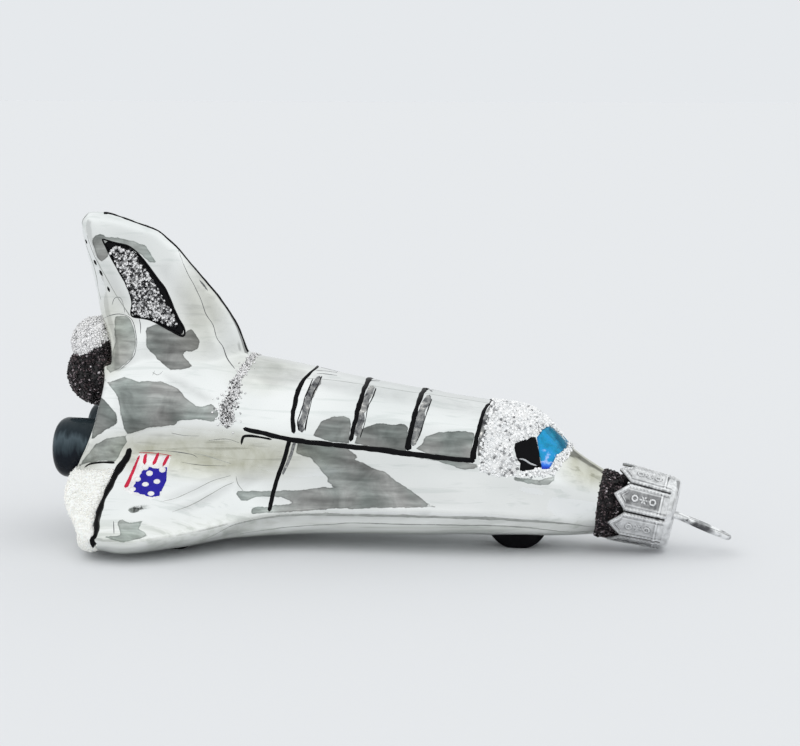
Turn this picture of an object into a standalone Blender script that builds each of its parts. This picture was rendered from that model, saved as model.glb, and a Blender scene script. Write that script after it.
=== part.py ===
"""Blown glass space shuttle ornament with a stamped crown cap and a wire hanger.

The shuttle lies on its moulded wheels: +X to the nose, +Y to its port side, +Z up.
The origin is the middle of its box, on the floor. Tables and sizes are in millimetres
and MM turns them into metres.
"""
import math

import bmesh
import bpy
import numpy as np
from mathutils import Matrix, Vector

MM = 0.001

# Gap between pieces, and thickness of the glitter and frost
GAP = 0.3
COAT = 0.5

# Shape of the hull: each line runs from tail to nose, columns x, y (half breadth), z
HULL_LINES = {
    "keel": [(-47, 0, 2.4), (-37, 0, 1.6), (-20, 0, 1.7), (0, 0, 1.9), (15, 0, 2.3), (28, 0, 2.45)],
    "bilge": [(-48, 12, 1.9), (-37, 13, 1.4), (-25, 9.5, 1.6), (-10, 6.8, 2.1), (5, 6.5, 2.4),
              (15, 6.4, 2.8), (28, 4.4, 2.8)],
    "tip_low": [(-44.8, 21.5, 1.8), (-38, 23.8, 1.4), (-30, 18.6, 1.6), (-22, 12.8, 2.4),
                (-10, 10.2, 3.2), (5, 9.8, 3.6), (15, 9.1, 3.9), (20, 8.7, 3.9), (28, 6.6, 3.8)],
    "tip": [(-44.0, 23.8, 3.5), (-41, 25.6, 3.5), (-36.5, 26.0, 3.6), (-32, 24.0, 3.9), (-27, 19.8, 4.2),
            (-21, 14.3, 5.0), (-14, 11.7, 5.5), (-5, 11.2, 5.8), (10, 10.7, 5.9), (20, 9.6, 5.7),
            (28, 7.4, 5.6)],
    "tip_up": [(-48.8, 17.0, 7.6), (-44, 20.6, 6.6), (-37, 22.6, 6.2), (-30, 18.6, 6.8), (-22, 12.8, 7.6),
               (-14, 11.0, 7.9), (0, 10.6, 7.8), (14, 10.1, 7.6), (22, 9.0, 7.3), (28, 7.3, 7.2)],
    "root": [(-48.4, 14.4, 11.8), (-42, 14.6, 11.4), (-36, 13.5, 11.0), (-30, 12.2, 10.9), (-22, 10.6, 11.0),
             (-14, 10.25, 11.1), (0, 10.15, 10.9), (8, 10.0, 10.7), (14, 9.5, 10.5), (22, 8.5, 10.0),
             (28, 7.2, 9.3)],
    "waist": [(-44, 11.0, 15.2), (-35, 10.6, 15.0), (-25, 10.0, 15.0), (-14, 10.05, 14.5), (-9, 9.95, 14.2),
              (-3, 9.75, 13.9), (3, 9.6, 13.3), (9, 9.25, 12.9), (14, 8.95, 12.6), (22, 8.3, 12.1),
              (28, 6.9, 10.9)],
    "sill": [(-42, 9.4, 18.6), (-35, 10.5, 19.4), (-27, 10.4, 19.0), (-21, 10.0, 18.0), (-14, 9.7, 17.3),
             (-8, 9.45, 17.0), (0, 9.1, 16.35), (7, 8.8, 15.7), (14, 8.4, 15.0), (20, 7.8, 14.4),
             (25, 6.9, 13.0), (29, 6.0, 11.8)],
    "shoulder": [(-45.6, 6.6, 26.0), (-40, 7.7, 26.6), (-33, 7.4, 26.5), (-26, 6.0, 26.2), (-19, 5.3, 25.6),
                 (-13, 5.5, 24.8), (-5, 6.2, 23.4), (5, 6.1, 22.0), (15, 5.9, 20.5), (21, 5.4, 19.4),
                 (24.4, 5.0, 17.2), (29, 4.6, 13.8)],
    "crest": [(-47.2, 3.2, 28.6), (-38, 3.4, 29.4), (-28, 3.3, 29.2), (-19, 3.2, 28.3), (-5, 3.1, 25.6),
              (5, 3.1, 24.0), (15, 3.0, 22.6), (21, 2.8, 21.8), (24.6, 2.6, 19.6), (29, 2.5, 15.0)],
    "crown": [(-47.5, 0, 29.4), (-38, 0, 30.3), (-28, 0, 30.1), (-19, 0, 28.9), (-5, 0, 26.3),
              (5, 0, 24.7), (15, 0, 23.2), (21, 0, 22.5), (24.6, 0, 20.6), (29, 0, 15.8)],
}
# Angle of each line where it runs out on the neck's circle, in the same order
NECK_ANGLES = [-90, -64, -40, -22, -6, 10, 22, 36, 58, 76, 90]
NECK_FOOT_RADIUS = 4.9
HULL_STATIONS = 60
RING_STEPS = 4
# Rounded tail face: columns share of the last section, push to the rear
TAIL_ROUNDING = [(0.6, 0.5), (0.95, 0.4)]

# Fin: columns z, leading edge x, trailing edge x, length of the bevel, half thickness at the bevel, in the
# middle and at the rear
FIN_ROWS = [
    (24.0, -24.5, -45.8, 5.5, 5.0, 5.5, 6.0),
    (28.5, -23.4, -45.8, 6.0, 4.7, 5.2, 6.0),
    (31.5, -24.1, -45.9, 6.0, 3.9, 4.3, 5.5),
    (34.0, -25.1, -46.9, 5.5, 2.9, 3.3, 4.5),
    (36.5, -26.5, -47.8, 4.8, 2.3, 2.75, 3.8),
    (39.0, -28.4, -48.2, 4.0, 2.05, 2.7, 3.45),
    (43.0, -31.8, -49.2, 3.6, 1.9, 2.5, 3.15),
    (46.5, -34.9, -50.2, 3.6, 1.7, 2.25, 2.8),
    (49.2, -37.9, -50.9, 3.6, 1.6, 2.05, 2.45),
    (50.9, -42.0, -51.0, 3.4, 1.5, 1.8, 2.0),
    (52.1, -47.0, -50.0, 1.2, 1.0, 1.1, 1.2),
]

# The neck on its own axis, and the cap and wire on theirs, a little askew
NECK_ROOT = (34.0, 0.0, 7.25)
NECK_PITCH = math.radians(7.0)
CAP_ROOT = (34.0, 0.0, 8.05)
CAP_PITCH = math.radians(11.5)
NECK_RADIUS = 4.5
# Where the hull stops and the neck starts, along the neck
NECK_FOOT = -1.2
NECK_LENGTH = 9.8
NECK_EDGE = 0.3
BORE_RADIUS = 3.8
BORE_DEPTH = 8.6
# Glitter ring on the neck: columns outer radius, height
RING_ROWS = [(5.1, -0.9), (5.3, -0.6), (5.1, 0.9), (4.95, 1.7)]
CAP_RADIUS = 5.7
CAP_FLARE = 0.5
CAP_WALL = 0.45
CAP_END = 11.1
CAP_LENGTH = 9.7
CAP_CORNER = 1.0
COLLAR_HEIGHT = 1.2
TAB_COUNT = 8
TAB_POINT = 2.2
TAB_TURN = math.radians(23.0)
TAB_SLIT = 0.2
SKIRT_STEPS = 4

# Wire hanger, on the cap's axis
WIRE_RADIUS = 0.45
LEG_OFFSET = 2.6
LEG_SPREAD = 2.95
LEG_START = 1.9
LEG_STRAIGHT = 6.9
HOLE_RADIUS = 0.85
LOOP_RADIUS = 3.95
LOOP_REACH = 4.5
LOOP_TILT = math.radians(10.0)
LOOP_STEPS = 16
WIRE_TURN = math.radians(-9.0)

# Engine bells: columns name, x of the rear rim, y, z, radius, rim radius, length
BELLS = [
    ("engine_bell_right", -52.7, -8.5, 15.0, 4.8, 1.7, 9.0),
    ("engine_bell_left", -52.7, 8.5, 15.0, 4.8, 1.7, 9.0),
]
TOP_BELL = (-48.2, 0.0, 26.0)
TOP_BELL_RADII = (5.6, 5.0, 5.4)
TAIL_DOME = (-48.8, 0.0, 30.9)
TAIL_DOME_RADIUS = 4.2

# Wheels: columns name, x, y
WHEELS = [("nose_wheel", 20.4, 0.0), ("main_wheel_right", -33.0, -10.5), ("main_wheel_left", -33.0, 10.5)]
WHEEL_RADIUS = 5.0
WHEEL_HEIGHT = 4.7
WHEEL_WIDTH = 5.0
WHEEL_BEVEL = 0.6

# Glitter and frost areas: outlines in the side view (x, z)
COCKPIT_AREA = [(15.6, 26), (14.4, 13.0), (25.2, 12.0), (26.6, 15.0), (24.4, 19.0), (22.8, 26)]
SHOULDER_AREA = [(-24.6, 33), (-21.6, 33), (-23.9, 22), (-24.4, 17.4), (-28.2, 17.4), (-26.4, 23)]
FIN_PANEL_AREA = [(-47.1, 47.9), (-44.8, 47.3), (-40.7, 46.4), (-39.9, 44.7), (-35.6, 38.9), (-33.4, 33.7),
                  (-33.8, 32.5), (-37.4, 34.0), (-42.0, 35.8), (-42.3, 38.7), (-44.2, 42.7)]
# Frosted trailing edge: outline seen from above (x, y), and its top
FROST_AREA = [(-53, 9.6), (-43.0, 9.6), (-43.4, 26.5), (-53, 26.5)]
FROST_TOP = 13.0

# Melted glass: voxel size, softening passes and share of triangles kept
VOXEL = 0.6
SOFTENING = 9
BODY_RATIO = 0.07

# Cutters reach this far past what they cut
REACH = 30.0

MATERIALS = {
    "silvered_glass": ((0.86, 0.87, 0.85), 0.06, 1.0),
    "navy_paint": ((0.012, 0.02, 0.035), 0.35, 0.0),
    "black_paint": ((0.01, 0.01, 0.011), 0.3, 0.0),
    "black_glitter": ((0.03, 0.026, 0.028), 0.5, 0.4),
    "silver_glitter": ((0.72, 0.72, 0.73), 0.35, 0.9),
    "white_beads": ((0.85, 0.86, 0.87), 0.3, 0.0),
    "cream_frost": ((0.87, 0.87, 0.83), 0.8, 0.0),
    "stamped_silver": ((0.75, 0.75, 0.76), 0.22, 1.0),
    "steel_wire": ((0.62, 0.62, 0.63), 0.2, 1.0),
}


def clear_scene():
    for thing in list(bpy.data.objects):
        bpy.data.objects.remove(thing, do_unlink=True)


def new_collection(name):
    group = bpy.data.collections.new(name)
    bpy.context.scene.collection.children.link(group)
    return group


def make_material(name):
    color, roughness, metallic = MATERIALS[name]
    material = bpy.data.materials.new(name)
    material.use_nodes = True
    shader = material.node_tree.nodes["Principled BSDF"]
    shader.inputs["Base Color"].default_value = (*color, 1.0)
    shader.inputs["Roughness"].default_value = roughness
    shader.inputs["Metallic"].default_value = metallic
    return material


def add_mesh(name, points, faces, group, material=None):
    """A mesh object from points in millimetres, with its faces turned outwards."""
    mesh = bpy.data.meshes.new(name)
    mesh.from_pydata([Vector(point) * MM for point in points], [], faces)
    work = bmesh.new()
    work.from_mesh(mesh)
    bmesh.ops.recalc_face_normals(work, faces=work.faces)
    work.to_mesh(mesh)
    work.free()
    thing = bpy.data.objects.new(name, mesh)
    group.objects.link(thing)
    if material:
        mesh.materials.append(material)
    return thing


def loft(name, rings, group, material=None):
    """A closed skin over rings of equally many points, with a flat cap at both ends."""
    count = len(rings[0])
    points = [tuple(point) for ring in rings for point in ring]
    faces = []
    for row in range(len(rings) - 1):
        for k in range(count):
            a = row * count + k
            b = row * count + (k + 1) % count
            faces.append((a, b, b + count, a + count))
    faces.append(tuple(range(count)))
    faces.append(tuple(range((len(rings) - 1) * count, len(rings) * count)))
    return add_mesh(name, points, faces, group, material)


def flow(knots, x):
    """Value of a smooth line through (x, value) knots that never overshoots them."""
    xs, ys = np.array(knots, float).T
    step = np.diff(xs)
    slope = np.diff(ys) / step
    tangent = np.concatenate([slope[:1], np.zeros(len(xs) - 2), slope[-1:]])
    for k in range(1, len(xs) - 1):
        if slope[k - 1] * slope[k] > 0:
            tangent[k] = 2 * slope[k - 1] * slope[k] / (slope[k - 1] + slope[k])
    k = int(np.clip(np.searchsorted(xs, x) - 1, 0, len(step) - 1))
    t = (x - xs[k]) / step[k]
    return ((1 + 2 * t) * (1 - t) ** 2 * ys[k] + t * (1 - t) ** 2 * step[k] * tangent[k]
            + t * t * (3 - 2 * t) * ys[k + 1] + t * t * (t - 1) * step[k] * tangent[k + 1])


def round_ring(points, steps):
    """Closed smooth curve through the points, spaced by the root of their distances."""
    count = len(points)
    ring = []
    for k in range(count):
        p0, p1, p2, p3 = (points[(k + j - 1) % count] for j in range(4))
        d1, d2, d3 = (max(np.linalg.norm(b - a) ** 0.5, 1e-6) for a, b in ((p0, p1), (p1, p2), (p2, p3)))
        m1 = (p2 - p1) + d2 * ((p1 - p0) / d1 - (p2 - p0) / (d1 + d2))
        m2 = (p2 - p1) + d2 * ((p3 - p2) / d3 - (p3 - p1) / (d2 + d3))
        for t in np.arange(steps) / steps:
            ring.append((1 + 2 * t) * (1 - t) ** 2 * p1 + t * (1 - t) ** 2 * m1
                        + t * t * (3 - 2 * t) * p2 + t * t * (t - 1) * m2)
    return ring


def neck_point(along, side, up):
    """Millimetre point at a distance along the neck's axis, to port and up from it."""
    c, s = math.cos(NECK_PITCH), math.sin(NECK_PITCH)
    return np.array([NECK_ROOT[0] + along * c + up * s, side, NECK_ROOT[2] - along * s + up * c])


def axis_matrix(root, pitch):
    """Object frame on a root: local Z runs out to the nose and down by the pitch, local Y to port."""
    c, s = math.cos(pitch), math.sin(pitch)
    matrix = Matrix([(-s, 0, c), (0, 1, 0), (-c, 0, -s)]).to_4x4()
    matrix.translation = Vector(root) * MM
    return matrix


def wire_matrix():
    """The cap's frame turned about its axis, as the wire sits in the cap."""
    return axis_matrix(CAP_ROOT, CAP_PITCH) @ Matrix.Rotation(WIRE_TURN, 4, "Z")


def hull_rings():
    """Sections of the hull from tail to neck, each through one point of every line."""
    ends = []
    for angle in NECK_ANGLES:
        turn = math.radians(angle)
        ends.append(neck_point(0.0, -NECK_FOOT_RADIUS * math.cos(turn), NECK_FOOT_RADIUS * math.sin(turn)))
    lines = []
    for knots, end in zip(HULL_LINES.values(), ends):
        lines.append([(x, -y, z) for x, y, z in knots] + [tuple(end)])
    rings = []
    for share in np.linspace(0.0, 1.0, HULL_STATIONS):
        half = []
        for line in lines:
            x = line[0][0] + share * (line[-1][0] - line[0][0])
            y = flow([(p[0], p[1]) for p in line], x)
            z = flow([(p[0], p[2]) for p in line], x)
            half.append(np.array([x, y, z]))
        port = [point * (1, -1, 1) for point in half[-2:0:-1]]
        rings.append(round_ring(half + port, RING_STEPS))
    middle = np.mean(rings[0], axis=0)
    swell = [middle + share * (np.array(rings[0]) - middle) - (push, 0, 0) for share, push in TAIL_ROUNDING]
    return swell + rings


def fin_rings():
    """Level sections of the fin: a flat slab with a long bevel to its leading edge."""
    rings = []
    for z, lead, trail, bevel, front, middle, rear in FIN_ROWS:
        halfway = 0.5 * (lead - bevel + trail + 1.6)
        outline = [(lead, 0.0), (lead - 0.35, 0.45 * front), (lead - bevel, front), (halfway, middle),
                   (trail + 1.6, rear), (trail + 0.2, 0.6 * rear), (trail, 0.0)]
        side = [np.array([x, -y, z]) for x, y in outline]
        port = [point * (1, -1, 1) for point in side[-2:0:-1]]
        rings.append(round_ring(side + port, RING_STEPS))
    return rings


def add_modifier(thing, kind, **values):
    modifier = thing.modifiers.new(kind.lower(), kind)
    for key, value in values.items():
        setattr(modifier, key, value)
    return modifier


def boolean(thing, operation, other):
    add_modifier(thing, "BOOLEAN", operation=operation, object=other, solver="EXACT")


def hide_cutter(thing):
    thing.hide_render = True
    thing.display_type = "WIRE"
    return thing


def frozen(thing, name, group):
    """A plain mesh copy of an object as its modifiers leave it, in world space."""
    bpy.context.view_layer.update()
    evaluated = thing.evaluated_get(bpy.context.evaluated_depsgraph_get())
    mesh = bpy.data.meshes.new_from_object(evaluated)
    mesh.transform(thing.matrix_world)
    mesh.materials.clear()
    copy = bpy.data.objects.new(name, mesh)
    group.objects.link(copy)
    return copy


def prism(name, outline, low, high, plane, group):
    """A straight block on an outline: plane XZ runs along y, and plane XY along z."""
    place = {"XZ": lambda a, b, c: (a, c, b), "XY": lambda a, b, c: (a, b, c)}[plane]
    rings = [[place(a, b, level) for a, b in outline] for level in (low, high)]
    return hide_cutter(loft(name, rings, group))


def glass_body(parts, cutters, material):
    body = loft("glass_body", hull_rings(), parts, material)
    fin = hide_cutter(loft("fin_block", fin_rings(), cutters))
    boolean(body, "UNION", fin)
    add_modifier(body, "REMESH", mode="VOXEL", voxel_size=VOXEL * MM)
    add_modifier(body, "SMOOTH", factor=0.5, iterations=SOFTENING)
    add_modifier(body, "DECIMATE", ratio=BODY_RATIO, use_symmetry=True, symmetry_axis="Y")
    room = hide_cutter(turned("neck_room", [(REACH, NECK_FOOT), (REACH, REACH)], 32, cutters))
    room.matrix_world = axis_matrix(NECK_ROOT, NECK_PITCH)
    boolean(body, "DIFFERENCE", room)
    return body


def skins(body, cutters):
    """The glass grown by the gap, which cuts what sits on it, and by gap and coat."""
    grown = {}
    for name, offset in (("clearance", GAP), ("coat_surface", GAP + COAT)):
        skin = hide_cutter(frozen(body, name, cutters))
        add_modifier(skin, "DISPLACE", strength=offset * MM, mid_level=0.0)
        grown[name] = skin
    return grown


def coat(name, skin, areas, spare, parts, material):
    """A film of glitter or frost on the glass, inside an area."""
    film = bpy.data.objects.new(name, skin["coat_surface"].data.copy())
    film.data.materials.append(material)
    parts.objects.link(film)
    add_modifier(film, "DISPLACE", strength=(GAP + COAT) * MM, mid_level=0.0)
    for area in areas:
        boolean(film, "INTERSECT", area)
    for other in spare:
        boolean(film, "DIFFERENCE", other)
    boolean(film, "DIFFERENCE", skin["clearance"])
    return film


def turned(name, profile, steps, group, material=None):
    """A turned solid from (radius, height) rows, bottom to top, closed on its axis."""
    rings = []
    for radius, height in profile:
        turn = [2 * math.pi * k / steps for k in range(steps)]
        rings.append([(radius * math.cos(a), radius * math.sin(a), height) for a in turn])
    return loft(name, rings, group, material)


def bell_profile(radius, rim, length):
    """Rows from the rear rim inwards: a rounded rim and a straight wall."""
    rows = [(0.3, 0.0)]
    for k in range(6):
        turn = math.pi / 2 * k / 5
        rows.append((radius - rim + rim * math.sin(turn), rim - rim * math.cos(turn)))
    rows.append((radius * 0.97, length))
    return rows


def add_bells(parts, skin, material):
    bells = []
    for name, x, y, z, radius, rim, length in BELLS:
        bell = turned(name, bell_profile(radius, rim, length), 32, parts, material)
        bell.matrix_world = Matrix.Translation(Vector((x, y, z)) * MM) @ Matrix.Rotation(math.pi / 2, 4, "Y")
        boolean(bell, "DIFFERENCE", skin["clearance"])
        bells.append(bell)
    return bells


def ball(name, centre, radii, group, material=None, steps=24):
    work = bmesh.new()
    bmesh.ops.create_uvsphere(work, u_segments=steps, v_segments=steps // 2, radius=1.0)
    for vert in work.verts:
        vert.co = Vector([(c + v * r) * MM for c, v, r in zip(centre, vert.co, radii)])
    mesh = bpy.data.meshes.new(name)
    work.to_mesh(mesh)
    work.free()
    thing = bpy.data.objects.new(name, mesh)
    group.objects.link(thing)
    if material:
        mesh.materials.append(material)
    return thing


def add_wheels(parts, cutters, skin, material):
    span = 2 * REACH
    square = [(-span, -span), (span, -span), (span, span), (-span, span)]
    floor = prism("floor_cut", square, -REACH, 0.0, "XY", cutters)
    for name, x, y in WHEELS:
        work = bmesh.new()
        turn = Matrix.Rotation(math.pi / 2, 4, "X")
        turn.translation = Vector((x, y, WHEEL_HEIGHT)) * MM
        bmesh.ops.create_cone(work, cap_ends=True, segments=48, radius1=WHEEL_RADIUS * MM,
                              radius2=WHEEL_RADIUS * MM, depth=WHEEL_WIDTH * MM, matrix=turn)
        mesh = bpy.data.meshes.new(name)
        work.to_mesh(mesh)
        work.free()
        wheel = bpy.data.objects.new(name, mesh)
        mesh.materials.append(material)
        parts.objects.link(wheel)
        add_modifier(wheel, "BEVEL", width=WHEEL_BEVEL * MM, segments=2, limit_method="ANGLE",
                     angle_limit=math.radians(60))
        boolean(wheel, "DIFFERENCE", floor)
        boolean(wheel, "DIFFERENCE", skin["clearance"])


def add_neck(parts, material):
    """The drawn neck: a tube with a blind bore for the hanger's legs."""
    side = NECK_RADIUS - 0.1
    rows = [
        (0.0, NECK_LENGTH - BORE_DEPTH), (BORE_RADIUS, NECK_LENGTH - BORE_DEPTH), (BORE_RADIUS, NECK_LENGTH),
        (side - NECK_EDGE, NECK_LENGTH), (side, NECK_LENGTH - NECK_EDGE),
        (NECK_RADIUS, NECK_FOOT + GAP), (0.0, NECK_FOOT + GAP),
    ]
    neck = screw("glass_neck", rows, 40, parts, material)
    neck.matrix_world = axis_matrix(NECK_ROOT, NECK_PITCH)


def screw(name, rows, steps, group, material):
    """A turned piece: (radius, height) rows from axis to axis, swept by a Screw modifier."""
    mesh = bpy.data.meshes.new(name)
    edges = [(k, k + 1) for k in range(len(rows) - 1)]
    mesh.from_pydata([Vector((r, 0, z)) * MM for r, z in rows], edges, [])
    thing = bpy.data.objects.new(name, mesh)
    group.objects.link(thing)
    mesh.materials.append(material)
    add_modifier(thing, "SCREW", axis="Z", angle=2 * math.pi, steps=steps, render_steps=steps,
                 use_merge_vertices=True, merge_threshold=1e-5)
    return thing


def add_neck_glitter(parts, cutters, material):
    """Black glitter ring on the neck, cut off square short of the cap's points."""
    bore = NECK_RADIUS + GAP
    rows = RING_ROWS + [(bore, RING_ROWS[-1][1]), (bore, RING_ROWS[0][1]), RING_ROWS[0]]
    ring = screw("neck_glitter", rows, 36, parts, material)
    ring.matrix_world = axis_matrix(NECK_ROOT, NECK_PITCH)
    start = CAP_END - CAP_LENGTH - GAP
    room = hide_cutter(turned("cap_room", [(REACH, start), (REACH, start + REACH)], 32, cutters))
    room.matrix_world = axis_matrix(CAP_ROOT, CAP_PITCH)
    boolean(ring, "DIFFERENCE", room)


def skirt_radius(radius, height):
    """Radius of the cap's skirt, which flares from the collar to the points of the tabs."""
    share = (CAP_END - COLLAR_HEIGHT - height) / (CAP_LENGTH - COLLAR_HEIGHT)
    return radius + CAP_FLARE * max(share, 0.0)


def tab_edge(angle):
    """Height of the skirt's lower edge: a row of points, one for each tab."""
    share = ((angle - TAB_TURN) / (2 * math.pi) * TAB_COUNT + 0.5) % 1.0
    return CAP_END - CAP_LENGTH + TAB_POINT * abs(2 * share - 1.0)


def cap_shell(radius, top, corner):
    """Rings of one face of the cap, from the points of the tabs to the middle of its end."""
    count = TAB_COUNT * SKIRT_STEPS
    angles = [2 * math.pi * k / count + TAB_TURN for k in range(count)]
    rings = [[(skirt_radius(radius, tab_edge(a)), tab_edge(a), a) for a in angles]]
    level = CAP_END - CAP_LENGTH + 1.2 * TAB_POINT
    rings.append([(skirt_radius(radius, level), level, a) for a in angles])
    rings.append([(radius, CAP_END - COLLAR_HEIGHT, a) for a in angles])
    for k in range(5):
        turn = math.pi / 2 * k / 4
        r, height = radius - corner + corner * math.cos(turn), top - corner + corner * math.sin(turn)
        rings.append([(r, height, a) for a in angles])
    rings.append([(0.4, top, a) for a in angles])
    return [[(r * math.cos(a), r * math.sin(a), height) for r, height, a in ring] for ring in rings]


def tab_slits(cutters):
    """One thin block through the skirt between each two tabs."""
    points, faces = [], []
    low, high = CAP_END - CAP_LENGTH - 1.0, CAP_END - COLLAR_HEIGHT
    for k in range(TAB_COUNT):
        turn = Matrix.Rotation(TAB_TURN + (k + 0.5) * 2 * math.pi / TAB_COUNT, 3, "Z")
        base = len(points)
        for r in (CAP_RADIUS - 2 * CAP_FLARE, CAP_RADIUS + 2 * CAP_FLARE):
            for across in (-TAB_SLIT / 2, TAB_SLIT / 2):
                for height in (low, high):
                    points.append(tuple(turn @ Vector((r, across, height))))
        for face in ((0, 1, 3, 2), (4, 5, 7, 6), (0, 1, 5, 4), (2, 3, 7, 6), (0, 2, 6, 4), (1, 3, 7, 5)):
            faces.append(tuple(base + corner for corner in face))
    return hide_cutter(add_mesh("tab_slits", points, faces, cutters))


def add_cap(parts, cutters, material):
    """Crown cap: a stamped cup with eight pointed tabs and two holes for the wire."""
    outer = cap_shell(CAP_RADIUS, CAP_END, CAP_CORNER)
    inner = cap_shell(CAP_RADIUS - CAP_WALL, CAP_END - CAP_WALL, CAP_CORNER - 0.5 * CAP_WALL)
    cap = loft("cap", inner[::-1] + outer, parts, material)
    cap.matrix_world = axis_matrix(CAP_ROOT, CAP_PITCH)
    slits = tab_slits(cutters)
    slits.matrix_world = cap.matrix_world
    boolean(cap, "DIFFERENCE", slits)
    for side in (-1, 1):
        rows = [(HOLE_RADIUS, CAP_END - 4 * CAP_WALL), (HOLE_RADIUS, CAP_END + CAP_WALL)]
        hole = hide_cutter(turned("cap_hole_%d" % side, rows, 20, cutters))
        hole.matrix_world = wire_matrix() @ Matrix.Translation(Vector((0, side * LEG_OFFSET, 0)) * MM)
        boolean(cap, "DIFFERENCE", hole)


def hanger_route():
    """Wire from one leg's end round the loop to the other, as local (y, x, z) points."""
    face = CAP_END + 0.6
    leg = [(LEG_SPREAD, 0.0, LEG_START), (LEG_OFFSET, 0.0, LEG_STRAIGHT), (LEG_OFFSET, 0.0, face)]
    start = math.asin(LEG_OFFSET / LOOP_RADIUS)
    loop = []
    for turn in np.linspace(start, 2 * math.pi - start, LOOP_STEPS + 1):
        y = LOOP_RADIUS * math.sin(turn)
        out = LOOP_REACH - LOOP_RADIUS * math.cos(turn)
        loop.append((y, -out * math.sin(LOOP_TILT), face + out * math.cos(LOOP_TILT)))
    back = [(-y, x, z) for y, x, z in leg[::-1]]
    return leg + loop + back


def add_hanger(parts, material):
    curve = bpy.data.curves.new("hanger", "CURVE")
    curve.dimensions = "3D"
    curve.bevel_depth = WIRE_RADIUS * MM
    curve.bevel_resolution = 2
    curve.use_fill_caps = True
    spline = curve.splines.new("POLY")
    route = hanger_route()
    spline.points.add(len(route) - 1)
    for point, (y, x, z) in zip(spline.points, route):
        point.co = (-x * MM, y * MM, z * MM, 1.0)
    hanger = bpy.data.objects.new("hanger", curve)
    parts.objects.link(hanger)
    curve.materials.append(material)
    hanger.matrix_world = wire_matrix()


def build():
    clear_scene()
    parts = new_collection("space_shuttle_ornament")
    cutters = new_collection("cutters")
    mats = {name: make_material(name) for name in MATERIALS}

    body = glass_body(parts, cutters, mats["silvered_glass"])
    skin = skins(body, cutters)
    add_neck(parts, mats["silvered_glass"])
    add_bells(parts, skin, mats["navy_paint"])

    top_bell = ball("engine_bell_top", TOP_BELL, TOP_BELL_RADII, parts, mats["black_glitter"])
    boolean(top_bell, "DIFFERENCE", skin["clearance"])
    keep_off = hide_cutter(ball("top_bell_keep", TOP_BELL, [r + GAP for r in TOP_BELL_RADII], cutters))
    dome = ball("tail_dome", TAIL_DOME, (TAIL_DOME_RADIUS,) * 3, parts, mats["silver_glitter"])
    boolean(dome, "DIFFERENCE", keep_off)
    boolean(dome, "DIFFERENCE", skin["clearance"])

    add_wheels(parts, cutters, skin, mats["black_paint"])
    add_neck_glitter(parts, cutters, mats["black_glitter"])

    cockpit = prism("cockpit_area", COCKPIT_AREA, -REACH, REACH, "XZ", cutters)
    coat("cockpit_glitter", skin, [cockpit], [], parts, mats["white_beads"])
    shoulder = prism("shoulder_area", SHOULDER_AREA, -REACH, REACH, "XZ", cutters)
    coat("shoulder_glitter", skin, [shoulder], [], parts, mats["silver_glitter"])
    for side, word in ((-1, "right"), (1, "left")):
        low, high = sorted((side * 0.8, side * REACH))
        panel = prism("fin_panel_area_" + word, FIN_PANEL_AREA, low, high, "XZ", cutters)
        coat("fin_panel_" + word, skin, [panel], [], parts, mats["silver_glitter"])
        outline = [(x, side * y) for x, y in FROST_AREA]
        frost = prism("frost_area_" + word, outline, 0.4, FROST_TOP, "XY", cutters)
        x, y, z, radius, rim, length = next(row[1:] for row in BELLS if row[0] == "engine_bell_" + word)
        rows = [(radius + GAP, -REACH), (radius + GAP, length + rim)]
        room = turned("bell_room_" + word, rows, 32, cutters)
        room.matrix_world = Matrix.Translation(Vector((x, y, z)) * MM) @ Matrix.Rotation(math.pi / 2, 4, "Y")
        hide_cutter(room)
        coat("elevon_frost_" + word, skin, [frost], [room], parts, mats["cream_frost"])

    add_cap(parts, cutters, mats["stamped_silver"])
    add_hanger(parts, mats["steel_wire"])


build()
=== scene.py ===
import math
from functools import cache

import bmesh
import bpy
import numpy as np
from mathutils import Matrix, Vector, noise
from mathutils.bvhtree import BVHTree
from mathutils.geometry import delaunay_2d_cdt
from mathutils.kdtree import KDTree


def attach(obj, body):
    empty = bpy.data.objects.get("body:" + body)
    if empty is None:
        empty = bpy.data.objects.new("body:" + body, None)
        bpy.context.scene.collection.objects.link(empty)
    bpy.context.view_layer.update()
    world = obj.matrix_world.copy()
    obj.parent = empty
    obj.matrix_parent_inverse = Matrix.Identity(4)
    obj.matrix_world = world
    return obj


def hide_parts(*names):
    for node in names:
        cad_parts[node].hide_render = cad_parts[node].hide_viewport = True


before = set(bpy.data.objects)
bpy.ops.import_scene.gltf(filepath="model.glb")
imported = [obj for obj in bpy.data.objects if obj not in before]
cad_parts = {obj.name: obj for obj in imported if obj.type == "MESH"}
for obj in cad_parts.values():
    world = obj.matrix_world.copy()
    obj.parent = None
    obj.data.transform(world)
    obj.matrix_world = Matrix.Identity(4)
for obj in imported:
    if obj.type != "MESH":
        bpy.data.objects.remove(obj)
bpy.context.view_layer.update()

MM = 0.001
SEED = 7
TINY = 1e-6

# Camera
PHOTO = (800, 746)
VIEW_TURN = math.radians(10.5)
VIEW_RISE = math.radians(8.0)
VIEW_DISTANCE = 350.0
VIEW_TARGET = (1.2, 0.0, 27.1)
SENSOR = 36.0
LENS = 99.2
CLIP = (0.01, 20.0)
FOCAL_PIXELS = LENS / SENSOR * PHOTO[0]

# Studio: level of the light by elevation in degrees, and of the dark and bright shapes around
SKY = [(-90, 0.8), (0, 0.8), (24, 0.86), (48, 1.02), (90, 0.96)]
# Light that falls on matt surfaces, without the shapes
SOFT_LIGHT = [(-90, 0.9), (0, 1.6), (14, 1.3), (34, 1.07), (90, 1.02)]
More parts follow.
